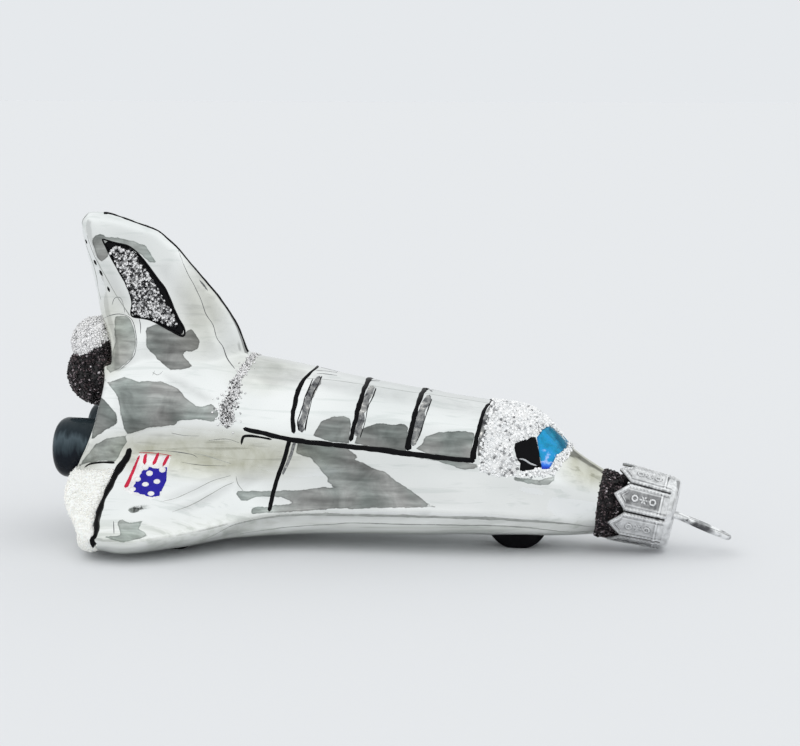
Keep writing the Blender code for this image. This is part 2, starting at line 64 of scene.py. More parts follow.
# Columns: left and right azimuth (0 faces starboard, + to the nose), low and top elevation, shift of the
# right side over its height, soft edge (all degrees), level
CARDS = [
    (-64, -28, -10, 40, 0, 6.0, 0.66),
    (126, 158, -8, 36, 6, 1.5, 0.36),
    (-150, -122, -8, 32, 6, 1.5, 0.40),
    (68, 88, -8, 24, 6, 5.0, 0.56),
]
CARD_WOBBLE = 3.0
# Azimuth at which the shapes' angles start over
CARD_SEAM = -140.0
# Shares of red, green and blue in the level
SKY_CAST = (0.965, 0.99, 1.0)
BACKDROP = (0.791, 0.815, 0.840)
FLOOR_COLOR = (0.725, 0.745, 0.765)
FLOOR_REACH = 4000.0

# Shape of the hull: each line runs from tail to nose, columns x, y (half breadth), z
HULL_LINES = {
    "keel": [(-47, 0, 2.4), (-37, 0, 1.6), (-20, 0, 1.7), (0, 0, 1.9), (15, 0, 2.3), (28, 0, 2.45)],
    "bilge": [(-48, 12, 1.9), (-37, 13, 1.4), (-25, 9.5, 1.6), (-10, 6.8, 2.1), (5, 6.5, 2.4),
              (15, 6.4, 2.8), (28, 4.4, 2.8)],
    "tip_low": [(-44.8, 21.5, 1.8), (-38, 23.8, 1.4), (-30, 18.6, 1.6), (-22, 12.8, 2.4),
                (-10, 10.2, 3.2), (5, 9.8, 3.6), (15, 9.1, 3.9), (20, 8.7, 3.9), (28, 6.6, 3.8)],
    "tip": [(-44.0, 23.8, 3.5), (-41, 25.6, 3.5), (-36.5, 26.0, 3.6), (-32, 24.0, 3.9), (-27, 19.8, 4.2),
            (-21, 14.3, 5.0), (-14, 11.7, 5.5), (-5, 11.2, 5.8), (10, 10.7, 5.9), (20, 9.6, 5.7),
            (28, 7.4, 5.6)],
    "tip_up": [(-48.8, 17.0, 7.6), (-44, 20.6, 6.6), (-37, 22.6, 6.2), (-30, 18.6, 6.8), (-22, 12.8, 7.6),
               (-14, 11.0, 7.9), (0, 10.6, 7.8), (14, 10.1, 7.6), (22, 9.0, 7.3), (28, 7.3, 7.2)],
    "root": [(-48.4, 14.4, 11.8), (-42, 14.6, 11.4), (-36, 13.5, 11.0), (-30, 12.2, 10.9),
             (-22, 10.6, 11.0), (-14, 10.25, 11.1), (0, 10.15, 10.9), (8, 10.0, 10.7), (14, 9.5, 10.5),
             (22, 8.5, 10.0), (28, 7.2, 9.3)],
    "waist": [(-46.8, 14.3, 15.2), (-42.5, 12.0, 15.2), (-37, 10.7, 15.0), (-25, 10.0, 15.0),
              (-14, 10.05, 14.5), (-9, 9.95, 14.2), (-3, 9.75, 13.9), (3, 9.6, 13.3), (9, 9.25, 12.9),
              (14, 8.95, 12.6), (22, 8.3, 12.1), (28, 6.9, 10.9)],
    "sill": [(-45.6, 11.9, 19.6), (-41, 10.6, 19.2), (-35, 10.5, 19.4), (-27, 10.4, 19.0),
             (-21, 10.0, 18.0), (-14, 9.7, 17.3), (-8, 9.45, 17.0), (0, 9.1, 16.35), (7, 8.8, 15.7),
             (14, 8.4, 15.0), (20, 7.8, 14.4), (25, 6.9, 13.0), (29, 6.0, 11.8)],
    "shoulder": [(-45.6, 6.6, 26.0), (-40, 7.7, 26.6), (-33, 7.4, 26.5), (-26, 6.0, 26.2),
                 (-19, 5.3, 25.6), (-13, 5.5, 24.8), (-5, 6.2, 23.4), (5, 6.1, 22.0), (15, 5.9, 20.5),
                 (21, 5.4, 19.4), (24.4, 5.0, 17.2), (29, 4.6, 13.8)],
    "crest": [(-47.2, 3.2, 28.6), (-38, 3.4, 29.4), (-28, 3.3, 29.2), (-19, 3.2, 28.3), (-5, 3.1, 25.6),
              (5, 3.1, 24.0), (15, 3.0, 22.6), (21, 2.8, 21.8), (24.6, 2.6, 19.6), (29, 2.5, 15.0)],
    "crown": [(-47.5, 0, 29.4), (-38, 0, 30.3), (-28, 0, 30.1), (-19, 0, 28.9), (-5, 0, 26.3),
              (5, 0, 24.7), (15, 0, 23.2), (21, 0, 22.5), (24.6, 0, 20.6), (29, 0, 15.8)],
}
# Angle of each line where it runs out on the neck's circle, in the same order
NECK_ANGLES = [-90, -64, -40, -22, -6, 10, 22, 36, 58, 76, 90]
NECK_FOOT_RADIUS = 4.9
HULL_STATIONS = 90
RING_STEPS = 8
# Rounded tail face: columns share of the last section, push to the rear
TAIL_ROUNDING = [(0.6, 0.5), (0.95, 0.4)]

# Fin: columns z, leading edge x, trailing edge x, length of the bevel, half thickness at the bevel, in the
# middle and at the rear
FIN_ROWS = [
    (24.0, -24.5, -45.8, 5.5, 5.0, 5.5, 6.0),
    (28.5, -23.4, -45.8, 6.0, 4.7, 5.2, 6.0),
    (31.5, -24.1, -45.9, 6.0, 3.9, 4.3, 5.5),
    (34.0, -25.1, -46.9, 5.5, 2.9, 3.3, 4.5),
    (36.5, -26.5, -47.8, 4.8, 2.3, 2.75, 3.8),
    (39.0, -28.4, -48.2, 4.0, 2.05, 2.7, 3.45),
    (43.0, -31.8, -49.2, 3.6, 1.9, 2.5, 3.15),
    (46.5, -34.9, -50.2, 3.6, 1.7, 2.25, 2.8),
    (49.2, -37.9, -50.9, 3.6, 1.6, 2.05, 2.45),
    (50.9, -42.0, -51.0, 3.4, 1.5, 1.8, 2.0),
    (52.1, -47.0, -50.0, 1.2, 1.0, 1.1, 1.2),
]
FIN_TRAIL_BEVEL = 1.6

# Neck, along its axis from its root
NECK_ROOT = (34.0, 0.0, 7.25)
NECK_PITCH = math.radians(7.0)
CAP_ROOT = (34.0, 0.0, 8.05)
CAP_PITCH = math.radians(11.5)
NECK_RADIUS = 4.5
NECK_LENGTH = 9.8
BORE_RADIUS = 3.8
BORE_DEPTH = 8.6
LIP_EDGE = 0.25
# Glitter ring at the neck's foot: columns radius, place along the axis
NECK_RING = [(4.3, -1.1), (5.1, -1.05), (5.3, -0.6), (5.1, 0.9), (4.7, 1.6), (4.7, 3.2), (4.3, 3.2)]
RING_FLAKES = 2600
RING_FLAKE_REACH = (-1.35, 2.6)
# Place along the axis and radius at which the ring's flakes lie
RING_FLAKE_LINE = [(-1.35, 4.75), (-0.9, 5.12), (-0.4, 5.27), (0.9, 5.1), (1.6, 4.72), (3.2, 4.7)]

# Fine glass mesh and its ripple
VOXEL = 0.42
SOFTENING = 16
# Columns: depth in mm, waves to a millimetre
RIPPLES = [(0.030, 0.11), (0.010, 0.33)]
# Folds pressed into the glass. Columns: pixels along the fold, width and height in mm
FOLDS = [
    ([(150, 541), (210, 530), (262, 516), (320, 511), (400, 510), (480, 514), (560, 521),
      (596, 527)], 0.5, 0.10),
    ([(170, 546), (230, 535), (280, 524), (340, 518), (420, 518), (500, 522), (590, 532)], 0.45, -0.07),
    ([(120, 543), (200, 541), (280, 530), (360, 525), (450, 525), (560, 531)], 0.4, 0.06),
    ([(168, 236), (180, 255), (190, 285), (205, 318), (216, 350), (224, 368)], 0.55, 0.10),
    ([(137, 314), (139, 335), (143, 352), (150, 366)], 1.1, -0.16),
    ([(114, 494), (130, 493), (142, 491.5), (155, 490), (170, 489)], 2.4, 0.2),
    ([(302, 426), (302.5, 410), (306, 396), (311, 384), (316, 378)], 1.5, 0.17),
    ([(359, 436), (361, 422), (364, 408), (369, 392), (374, 385)], 1.5, 0.17),
    ([(416, 444), (419, 430), (423, 414), (428, 400), (433, 393)], 1.5, 0.17),
]
FOLD_STEP = 0.2
# How many widths from its line a fold is worked out, and how fast it fades in from its ends
FOLD_REACH = 2.6
FOLD_FADE = 6

# Cap, on the neck's axis
CAP_RADIUS = 5.7
CAP_FLARE = 0.5
CAP_WALL = 0.45
CAP_END = 11.1
CAP_LENGTH = 9.7
CAP_CORNER = 1.0
CAP_DISH = 0.18
TAB_COUNT = 8
TAB_POINT = 2.2
TAB_TURN = math.radians(23.0)
TAB_SLIT = 0.2
TAB_HALF = math.pi * CAP_RADIUS / TAB_COUNT - TAB_SLIT / 2
TAB_ROWS = 66
TAB_TIP_ROWS = 20
TAB_COLUMNS = 34
# Tone of the pattern's ground on every other tab, light and dark by turns as painted reflection; FRAME_SHADE
# is the lighter tone painted round the panel, FOOT_DARKNESS the strength of the painted shade at the ridges'
# feet
TAB_SHADES = (0.66, 0.2)
FRAME_SHADE = 0.84
FOOT_DARKNESS = 2.3
COLLAR_HEIGHT = 1.2
# Stamped pattern, along the tab from its tip. Ridges and dark grooves: place, half width, height or darkness
PATTERN_END = 7.4
BEAD_PITCH = 0.55
BORDER_RIDGE = (0.38, 0.17, 0.19)
INNER_RIDGE = (0.95, 0.1, 0.10)
RING_PLACES = (3.35, 6.15)
RING_RIDGE = (0.42, 0.14, 0.19)
FLOWER_PLACE = 4.75
LEAF_RIDGE = (0.42, 0.2, 0.22)
FLOWER_DOT = (0.0, 0.14, 0.12)
FOOT_RIDGE = (7.45, 0.17, 0.17)
# The grooves are painted shade in tone only: dark in the hollow between the border ridges and at the tab's
# edge
GROOVE = (0.74, 0.09, 0.7)
EDGE_GROOVE = (0.0, 0.12, 0.7)

# Wire hanger, on the same axis
WIRE_RADIUS = 0.45
LEG_OFFSET = 2.6
LEG_SPREAD = 2.95
LEG_START = 1.9
LEG_STRAIGHT = 6.9
HOLE_RADIUS = 0.85
# Height over the cap at which the loop begins
HANGER_RISE = 0.6
LOOP_RADIUS = 3.95
LOOP_REACH = 4.5
LOOP_TILT = math.radians(10.0)
WIRE_TURN = math.radians(-9.0)

# Engine bells: columns name, x of the rear rim, y, z, radius, rim radius, length that shows
BELLS = [
    ("engine_bell_right", -52.7, -8.5, 15.0, 4.8, 1.7, 6.8),
    ("engine_bell_left", -52.7, 8.5, 15.0, 4.8, 1.7, 6.8),
]
BELL_TAPER = 0.97
# Glitter balls of the tail: name, centre, radii, flakes to a square millimetre
DOME_BALL = ("tail_dome", (-48.8, 0.0, 30.9), (4.2, 4.2, 4.2), 13.0)
BELL_BALL = ("engine_bell_top", (-48.2, 0.0, 26.0), (5.6, 5.0, 5.4), 12.0)
# Shares of the radii at which the ball's skin and its flakes lie, and the skin's grain: height, waves
BALL_SHELL = 0.97
FLAKE_SHELL = 0.975
BALL_GRAIN = (0.02, 9)
# How far inside the glass a flake may lie
FLAKE_DEPTH = 0.1

# Wheels: columns name, x, y
WHEELS = [("nose_wheel", 20.4, 0.0), ("main_wheel_right", -33.0, -10.5), ("main_wheel_left", -33.0, 10.5)]
WHEEL_RADIUS = 5.0
WHEEL_HEIGHT = 4.7
WHEEL_WIDTH = 5.0
WHEEL_BEVEL = 0.6

# Brush strokes: spacing of their sections, places of points over the width, and depth under the surface
STROKE_STEP = 0.3
STROKE_SHARES = (-1.0, -0.86, -0.5, 0.0, 0.5, 0.86, 1.0)
STROKE_SINK = 0.12
# Sections over which a stroke's sides and its height change, and how much its height does
SIDE_WAVES = (4, 2)
RISE_WAVE = 5
RISE_SHARE = 0.35
# How far a coat's edge dips, over how much of its border a patch rises, and how many steps round a film does
EDGE_DIP = 0.02
PATCH_EDGE = 0.25
FILM_EDGE_STEPS = 6
# Strokes' rise in mm and unevenness
LINE_LOOK = (0.16, 0.16)
HOOP_LOOK = (0.16, 0.26)
HOOP_REFLECTION_EDGE_LOOK = (0.12, 0.4)
LINE_REFLECTION_LOOK = (0.05, 0.3)
FIN_EDGE_LOOK = (0.14, 0.16)
FIN_DASH_LOOK = (0.12, 0.16)
PANEL_LOOK = (0.2, 0.25)
REFLECTION_LINE_LOOK = (0.02, 0.3)
ELEVON_LOOK = (0.55, 0.22)
FROST_LOOK = (0.3, 0.22)
WINDOW_HIGHLIGHT_LOOK = (0.22, 0.3)
FLAG_LOOK = (0.15, 0.12)

# Painted lines, as pixels of the photograph. The bay's hoops go on over the top to the port side. The
# doubles, and the hoops' edges beside them, are reflections of the lines in the silver lining, painted as
# strokes.
# Columns: pixels, widths in mm along the line
SILL = ([(243, 428.5), (262, 433), (293, 440), (325, 444), (350, 446.5), (380, 450), (407, 453.5),
         (440, 457.5), (475, 461)], [0.7, 0.8, 0.8, 0.9, 0.9, 0.8])
SILL_DOUBLE = ([(241.5, 444.5), (242.2, 440), (244, 436.3), (252, 436.2), (262, 437.5), (272, 439.5)],
               [0.35, 0.5, 0.45, 0.4, 0.35, 0.3])
HOOPS = [
    ([(294, 433.5), (292.8, 418), (294.5, 405), (298.5, 390), (303, 380.5), (309, 374), (316, 368)],
     [0.6, 0.75, 0.85, 0.85, 0.7, 0.5, 0.4]),
    ([(350.5, 441.5), (353.5, 427), (356, 417), (360, 402.5), (364, 390), (367, 383.5), (370, 376)],
     [0.85, 0.8, 0.75, 0.8, 0.8, 0.8]),
    ([(407.5, 450.5), (409.5, 438), (413.4, 420), (417.3, 406), (422, 394), (425, 389), (428, 382)],
     [1.1, 0.85, 0.8, 0.8, 0.8, 0.8]),
    ([(473, 460.5), (474.5, 449), (477.5, 434), (480.5, 422), (484, 412), (487, 405.5), (492, 402)],
     [1.0, 0.8, 0.7, 0.6, 0.6, 0.7]),
]
HOOP_DOUBLES = [
    ([(302, 432.5), (301.5, 425), (303.5, 416.5), (306, 407), (308.5, 399), (313.5, 389), (317, 382),
      (319.5, 376)], [0.8, 1.45, 1.1, 1.0, 1.2, 1.3, 1.1]),
    ([(356.5, 436), (358.5, 424), (361, 412), (364.5, 401), (368.5, 393), (373, 386)],
     [1.2, 1.6, 1.75, 1.5, 1.2, 0.8]),
    ([(413, 446), (416, 434), (419.5, 419), (423.5, 407.5), (427, 401), (429.5, 395)],
     [0.9, 1.4, 1.5, 1.4, 1.1, 0.8]),
    ([(479.5, 457), (480, 444), (483, 431), (486, 418), (490.5, 407.5), (493.5, 402.5)],
     [0.5, 0.7, 0.8, 0.8, 0.7, 0.6]),
]
HOOP_REFLECTION_EDGES = [
    ([(322, 376), (318, 385), (313.5, 393), (311, 403), (308.5, 413.5), (306, 423.5), (305, 431)],
     [0.2, 0.14, 0.2, 0.14, 0.16, 0.2, 0.3]),
    ([(313, 378.5), (309.5, 387), (305, 397), (303, 405), (300, 414), (297.5, 422), (299, 431)],
     [0.12, 0.2, 0.12, 0.16, 0.14, 0.3]),
    ([(376, 388), (373, 397), (368, 407), (366, 418), (363.5, 427), (360, 438)],
     [0.16, 0.22, 0.14, 0.18, 0.12, 0.2]),
    ([(432, 399), (428, 409), (424.5, 420), (421, 431), (416.5, 442)], [0.14, 0.2, 0.14, 0.2, 0.14]),
    ([(497, 404), (491.5, 412), (487, 424), (484, 438), (482.5, 452)], [0.14, 0.16, 0.12, 0.16, 0.14]),
]
SIDE_LINE = ([(289.5, 440), (284.5, 458), (278, 476), (273, 494), (269, 511.5)],
             [0.75, 0.7, 0.7, 0.65, 0.75])
SIDE_DOUBLE = ([(295, 441), (291.5, 453), (287.5, 463), (283, 473), (283, 475)], [0.6, 0.55, 0.55, 0.5, 0.4])
FIN_EDGE = ([(104, 213.5), (110, 213.6), (132.5, 221), (158, 230), (169.5, 239), (179, 249.5), (193.5, 265),
             (206.5, 280), (216, 293), (227, 306), (236, 322.5), (245, 339), (250.5, 350)],
            [0.9, 0.32, 0.28, 0.3, 0.4, 0.35, 0.4, 0.5, 0.55, 0.5, 0.6, 0.5])
# Side of the middle plane on which the edge's line lies where no glass is seen
FIN_EDGE_PLANE = -0.3
FIN_DASHES = [[(85.4, 239.5), (87, 243.5)], [(94, 260), (96.5, 265)], [(99.5, 270), (102.4, 276)],
              [(107.4, 286.5), (109.6, 292)]]
FIN_DASH_WIDTHS = [0.3, 0.42, 0.3]
PANEL_OUTLINE = [(102, 239), (116, 243), (130, 247), (142, 258), (154, 274), (166, 290), (172, 304),
                 (178, 318), (184, 328), (183, 336), (170, 330), (150, 320), (134, 317), (131, 313),
                 (132, 302), (126, 284), (118, 270), (110, 255)]
PANEL_FLAKES = [(110, 250), (118, 247), (130, 250), (138, 258), (148, 274), (161, 294), (169, 308),
                (177, 323), (177, 327), (160, 321), (136, 315), (133, 311), (133, 300), (127, 283),
                (120, 270)]
# Rise of the panel's ground and of the glue over it, and spacing of their points in pixels
PANEL_RISES = (0.12, 0.19)
PANEL_SPACING = 2.5
PANEL_WIDTHS = [0.25, 0.35, 0.3, 0.4, 0.3, 0.25, 0.3]
ELEVON_LINE = ([(130.5, 448), (125, 460), (117.5, 471.5), (110.5, 484.5), (104.5, 497), (100.5, 508),
                (98.5, 515.5), (97, 523), (95.5, 535.5), (92.5, 539.5), (95.5, 545)],
               [0.85, 1.15, 1.2, 0.95, 0.8, 0.45, 1.1, 0.65, 0.95, 0.5, 0.5])
FROST_LINE = ([(84.4, 467.6), (90, 464), (101, 462.4), (114.5, 462.4)], [0.2, 0.35, 0.3, 0.4])

# Flag on the wing: ground, canton, stripes and dots, in pixels
FLAG_GROUND = [(138.5, 452.5), (172, 456), (168, 469.5), (160.5, 497), (151, 500), (131, 494.5),
               (122.5, 489.5)]
FLAG_CANTON = [(146.5, 465.8), (157, 467.3), (167.6, 466.7), (166.7, 480.6), (159.5, 496.5), (151.5, 498.7),
               (132.5, 492.8), (132.5, 486), (140.5, 472)]
FLAG_STRIPES = [([(146.3, 453.5), (145, 458), (144.5, 464.5)], [0.5, 0.6, 0.65]),
                ([(158.6, 452.5), (156, 459), (153, 465)], [0.5, 0.6, 0.7]),
                ([(168.8, 455), (165.5, 461), (162.8, 466.5)], [0.5, 0.6, 0.65]),
                ([(139, 452.4), (150, 452.8), (162, 454), (171.8, 455.8)], [0.08, 0.14, 0.1, 0.14]),
                ([(139.5, 455.5), (135.3, 465.8), (130.6, 476.9), (125.2, 488)], [0.3, 0.55, 0.6, 0.75])]
FLAG_DOTS = [(145.4, 467.6), (162.4, 470), (149.5, 473.7), (137.5, 479.6), (156.9, 482), (145.4, 484.8),
             (151, 494), (132.5, 489.6)]
FLAG_RISES = (0.07, 0.13)
FLAG_DOT_RADIUS = 0.64
FLAG_DOT_RISE = 0.24
DOT_SHARES = (1.0, 0.8, 0.5, 0.2)
DOT_STEPS = 20

# Cockpit, in pixels: beads, side window and windshield
BEAD_AREA = [(493, 398), (520, 394), (546, 399), (556, 420), (571, 440), (571, 450), (566, 460),
             (559, 469), (555, 475), (541, 477), (520, 476.5), (503, 477.5), (486, 474), (478, 470),
             (480, 446), (485, 425)]
SIDE_WINDOW = [(515, 443), (533, 436.5), (536, 437), (539, 450), (541.5, 467.5), (535.5, 469.5), (519, 472),
               (520, 463.5), (516, 457.5), (514, 448)]
WINDSHIELD = [(536.5, 437.5), (542.5, 429), (549.5, 425), (556, 430.5), (568, 441), (567, 448), (557, 455.5),
              (549.5, 469.5), (541.5, 469.5), (539, 455)]
WINDOW_RISE = 0.16
WINDSHIELD_RISE = 0.14
# Pale streak painted on the black side window as a highlight
WINDOW_HIGHLIGHT = ([(518.5, 459), (524, 459.8), (530, 463.5), (537, 466)], [0.3, 0.55, 0.5, 0.3])

# Glitter, in pixels: border of silver and black on the tail dome, and the shoulder's trail
DOME_BORDER = [(70, 357), (80, 356), (90, 352), (100, 346), (108, 340), (116, 332)]
SHOULDER_TRAIL = [(255, 352), (249, 362), (243.5, 370), (238, 378), (235, 388), (232, 397), (227, 406),
                  (226, 416), (229, 424)]
TRAIL_FLAKES = 1300
TRAIL_STEP = 0.4
# How the flakes crowd to the trail's lower end, the share of strays, and how wide they and the others spread
TRAIL_CROWDING = (1.5, 0.9)
STRAYS = 0.08
STRAY_SPREAD = 1.8
CLOSE_SPREAD = 0.8
# Along the trail from 0 to 1: its half width in mm, and the share of dark flakes
TRAIL_SPREAD = [(0, 0.4), (0.5, 0.42), (0.85, 0.68), (1, 0.6)]
TRAIL_DARKNESS = [(0, 0.04), (0.4, 0.1), (0.65, 0.38), (0.85, 0.72)]
PANEL_FLAKE_COUNT = 2500
BEAD_COUNT = 2500

# Coats: thickness, height of the grain and its waves to a millimetre
GLUE_COAT = (0.1, 0.04, 1.2)
FROST_COAT = (0.55, 0.1, 1.6)
# Where the frost begins to the side and ends upwards
FROST_INNER = 9.8
FROST_TOP = 12.6
# How far it stays off the bells, and off the line where it starts, whose points are FROST_STEP apart
FROST_BELL_GAP = 0.15
FROST_LINE_GAP = 0.1
FROST_STEP = 0.5
FROST_GRAINS = 9000
FROST_TONE = 0.6
# Small pieces: radius in mm, least and greatest share of it, tilt, lift in radii
STREWN = {
    "tail_dome_flakes": (0.24, 0.6, 1.25, 0.5, 0.3),
    "engine_bell_top_flakes": (0.22, 0.6, 1.25, 0.5, 0.3),
    "neck_ring_flakes": (0.2, 0.6, 1.3, 0.5, 0.3),
    "fin_panel_flakes": (0.25, 0.6, 1.3, 0.4, 1.15),
    "shoulder_flakes": (0.2, 0.6, 1.3, 0.5, 0.5),
    "shoulder_sparks": (0.17, 0.6, 1.3, 0.5, 0.5),
    "cockpit_beads": (0.18, 0.55, 1.4, 0.1, 0.8),
    "wing_frost_grains": (0.095, 0.6, 1.4, 0.5, 0.4),
}
FLAKE_HEIGHT = 0.16

# Grey reflections painted on the silver lining as patches, the same on both sides. Columns: share of its
# brightness, outline in pixels
SHADES = [
    (0.36, [(91, 238), (101, 233), (105, 236), (106, 242), (109, 256), (101, 262), (98, 258), (93, 245)]),
    (0.52, [(101, 236), (117, 238), (133, 241), (146, 246), (157, 263), (149, 262), (136, 251), (104, 242)]),
    (0.31, [(146, 328), (157, 324), (176, 332), (183, 334), (192, 329), (199, 340), (199, 349), (191, 352),
            (186, 351), (183, 354), (187, 360), (193, 367), (180, 370), (170, 370), (159, 360), (147, 347)]),
    (0.52, [(115, 316), (125, 315), (130, 318), (135, 331), (136, 347), (132, 358), (120, 369), (110, 373),
            (106, 368), (112, 355), (115, 342)]),
    (0.42, [(105, 380), (110, 382), (124, 377), (139, 382), (161, 381), (177, 388), (186, 398), (196, 406),
            (204, 407), (212, 403), (219, 415), (213, 422), (201, 419), (178, 421), (176, 425), (150, 428),
            (128, 434), (124, 430), (118, 397), (113, 390)]),
    (0.5, [(78, 466), (96, 444), (109, 438), (125, 436), (127, 442), (116, 461), (98, 461)]),
    (0.24, [(98, 396), (104, 399), (116, 413), (117, 423), (103, 431), (91, 441), (93, 430), (96, 415)]),
    (0.52, [(121, 519), (130, 523), (143, 520), (139, 529), (146, 533), (148, 536), (122, 543), (104, 537),
            (120, 535), (118, 522)]),
    (0.42, [(128, 509), (143, 507), (143, 509), (132, 513)]),
    (0.36, [(313, 436), (321, 421), (331, 417), (344, 416), (350, 418), (351, 424), (348, 443), (331, 442)]),
    (0.3, [(355, 443), (358, 433), (362, 429), (377, 423), (392, 425), (405, 424), (408, 428), (406, 453),
           (380, 449)]),
    (0.4, [(416, 449), (423, 443), (425, 437), (438, 432), (464, 431), (474, 433), (471, 460), (429, 454)]),
    (0.5, [(411, 455), (420, 459), (438, 461), (457, 468), (466, 470), (477, 468), (477, 464), (429, 457)]),
    (0.43, [(298, 441), (344, 447), (360, 457), (355, 459), (373, 468), (384, 472), (408, 489), (428, 503),
            (436, 507), (330, 509), (251, 514), (252, 508), (290, 504), (292, 502), (282, 497), (256, 497),
            (246, 501), (241, 501), (236, 493), (238, 491), (271, 491), (306, 490), (322, 487), (336, 488),
            (327, 482), (328, 478), (311, 458), (306, 456), (296, 453)]),
    (0.5, [(512, 476), (522, 478), (540, 480), (555, 475), (555, 481), (548, 485), (538, 485), (515, 480)]),
]
# Soft places of painted shade, where the lining's reflections are dimmer: share of its brightness, outline
# in pixels
SOFT_SHADES = [
    (0.78, [(186, 262), (192, 262), (206, 281), (214, 296), (196, 278)]),
    (0.88, [(196, 280), (218, 300), (228, 316), (240, 345), (226, 352), (204, 305)]),
    (0.91, [(156, 266), (170, 262), (200, 310), (216, 350), (204, 352), (182, 305)]),
    (0.8, [(252, 356), (280, 361), (309, 372), (298, 384), (270, 386), (245, 368)]),
    (0.84, [(312, 371), (380, 383), (488, 402), (485, 415), (380, 398), (314, 386)]),
    (0.86, [(571, 443), (598, 465), (603, 472), (601, 486), (580, 472)]),
    (0.62, [(298, 446), (312, 447), (345, 457), (378, 474), (355, 469), (322, 457)]),
    (0.7, [(296, 497), (330, 493), (352, 496), (392, 504), (380, 508), (300, 507)]),
    (0.75, [(360, 440), (374, 436), (398, 436), (402, 452), (380, 449)]),
    (0.75, [(430, 452), (440, 446), (462, 444), (470, 458), (447, 456)]),
    (0.7, [(124, 410), (140, 404), (185, 414), (176, 422), (150, 428), (128, 433)]),
    (0.72, [(150, 330), (180, 342), (184, 350), (170, 352), (148, 340)]),
    (0.82, [(170, 509), (200, 498), (231, 481), (236, 485), (204, 505), (186, 512)]),
    (0.86, [(165, 497), (210, 479), (228, 474), (230, 478), (192, 495), (170, 501)]),
    (0.84, [(236, 478), (250, 474), (262, 476), (246, 490), (236, 490)]),
    (0.72, [(240, 517), (280, 512), (430, 513), (430, 519), (300, 518), (256, 524), (226, 533)]),
    (0.88, [(104, 262), (112, 268), (128, 300), (122, 306), (104, 280)]),
    (0.85, [(430, 513), (500, 514), (596, 524), (594, 530), (500, 524), (430, 522)]),
    (0.82, [(165, 375), (185, 381), (214, 400), (206, 402), (172, 384)]),
]
# Pixels of the photograph to a millimetre of the object, and how far round a patch its edge is worked out
PIXELS_PER_MM = 6.3
SHADE_REACH = 1.2
# How far behind the first surface met a point still counts as in sight, and how far a face may turn away
SIGHT_MARGIN = 0.7
GRAZING = 0.05
# Fine grey lines painted as reflections in the lining: dark ones and pale ones. Columns: pixels, widths in
# mm along the line
DARK_REFLECTION_LINES = [
    ([(176, 243), (186, 270), (194, 285), (201, 300), (206, 314), (213, 325), (217, 338), (223, 347),
      (227, 358), (235, 369)], [0.1, 0.12, 0.14, 0.16, 0.2, 0.2, 0.16]),
    ([(139, 318), (140.5, 325), (140.5, 334)], [0.1, 0.2, 0.1]),
    ([(140, 451), (162, 450.5), (190, 454), (198, 458)], [0.08, 0.12, 0.1, 0.18, 0.08]),
    ([(113.5, 521), (114, 534)], [0.15, 0.2]),
    ([(199, 279.5), (203.5, 285), (208, 291)], [0.2, 0.6, 0.3]),
    ([(316, 370.5), (326, 371), (337, 372.5)], [0.4, 0.25, 0.12]),
    ([(317, 373.5), (327, 374), (337, 375.5)], [0.15, 0.45, 0.15]),
    ([(366.5, 382), (372, 380.6), (379.5, 381)], [0.4, 0.6, 0.3]),
    ([(425, 388.8), (430, 389), (434.5, 390)], [0.5, 0.6, 0.3]),
    ([(112, 305), (114, 299), (118, 297), (122, 300), (125, 313)], [0.1, 0.16, 0.1, 0.14]),
    ([(104, 318), (120, 314), (132, 320), (136.5, 338), (136, 348), (132.5, 358), (120, 370)],
     [0.1, 0.16, 0.12, 0.18, 0.12, 0.16, 0.08]),
    ([(152, 372), (158, 375), (163, 371)], [0.08, 0.14, 0.08]),
    ([(208, 440.5), (226, 439), (240, 443)], [0.06, 0.12, 0.08]),
    ([(180, 462), (200, 465), (226, 466)], [0.06, 0.12, 0.08]),
]
PALE_REFLECTION_LINES = [
    ([(87, 235), (94, 255), (104.5, 274.5), (115.5, 294), (124, 307), (130, 316)],
     [0.15, 0.2, 0.2, 0.16, 0.2]),
    ([(85.5, 243), (93, 263.5), (96.5, 277), (98.5, 290), (101, 300)], [0.15, 0.25, 0.2]),
    ([(194, 453.5), (207, 456), (232, 464)], [0.1, 0.16, 0.1]),
    ([(171, 433), (185, 435.5), (200, 436)], [0.1, 0.14, 0.1]),
    ([(160, 502), (176, 498), (192, 491), (212, 481), (231, 475.5)], [0.06, 0.16, 0.14, 0.2, 0.1]),
    ([(172, 512), (190, 505.5), (206, 497), (222, 487.5), (234, 482)], [0.06, 0.16, 0.2, 0.16, 0.1]),
    ([(236, 476), (238, 484), (244, 492)], [0.1, 0.2, 0.1]),
    ([(152.5, 375.5), (154.5, 371)], [0.12, 0.16]),
    ([(200, 541), (230, 526.5), (264.5, 518), (306.5, 514.5), (349.5, 515), (420, 516.5), (500, 519),
      (560, 523), (595, 527)], [0.1, 0.3, 0.6, 0.7, 0.65, 0.7, 0.5, 0.2]),
    ([(240, 534), (280, 528), (330, 524.5), (353, 523), (406, 524.5), (450, 525), (520, 527), (590, 531)],
     [0.1, 0.24, 0.3, 0.32, 0.2]),
    ([(300, 378.5), (340, 381), (380, 387), (420, 393), (460, 398.5), (488, 403)],
     [0.1, 0.16, 0.12, 0.16, 0.1]),
]

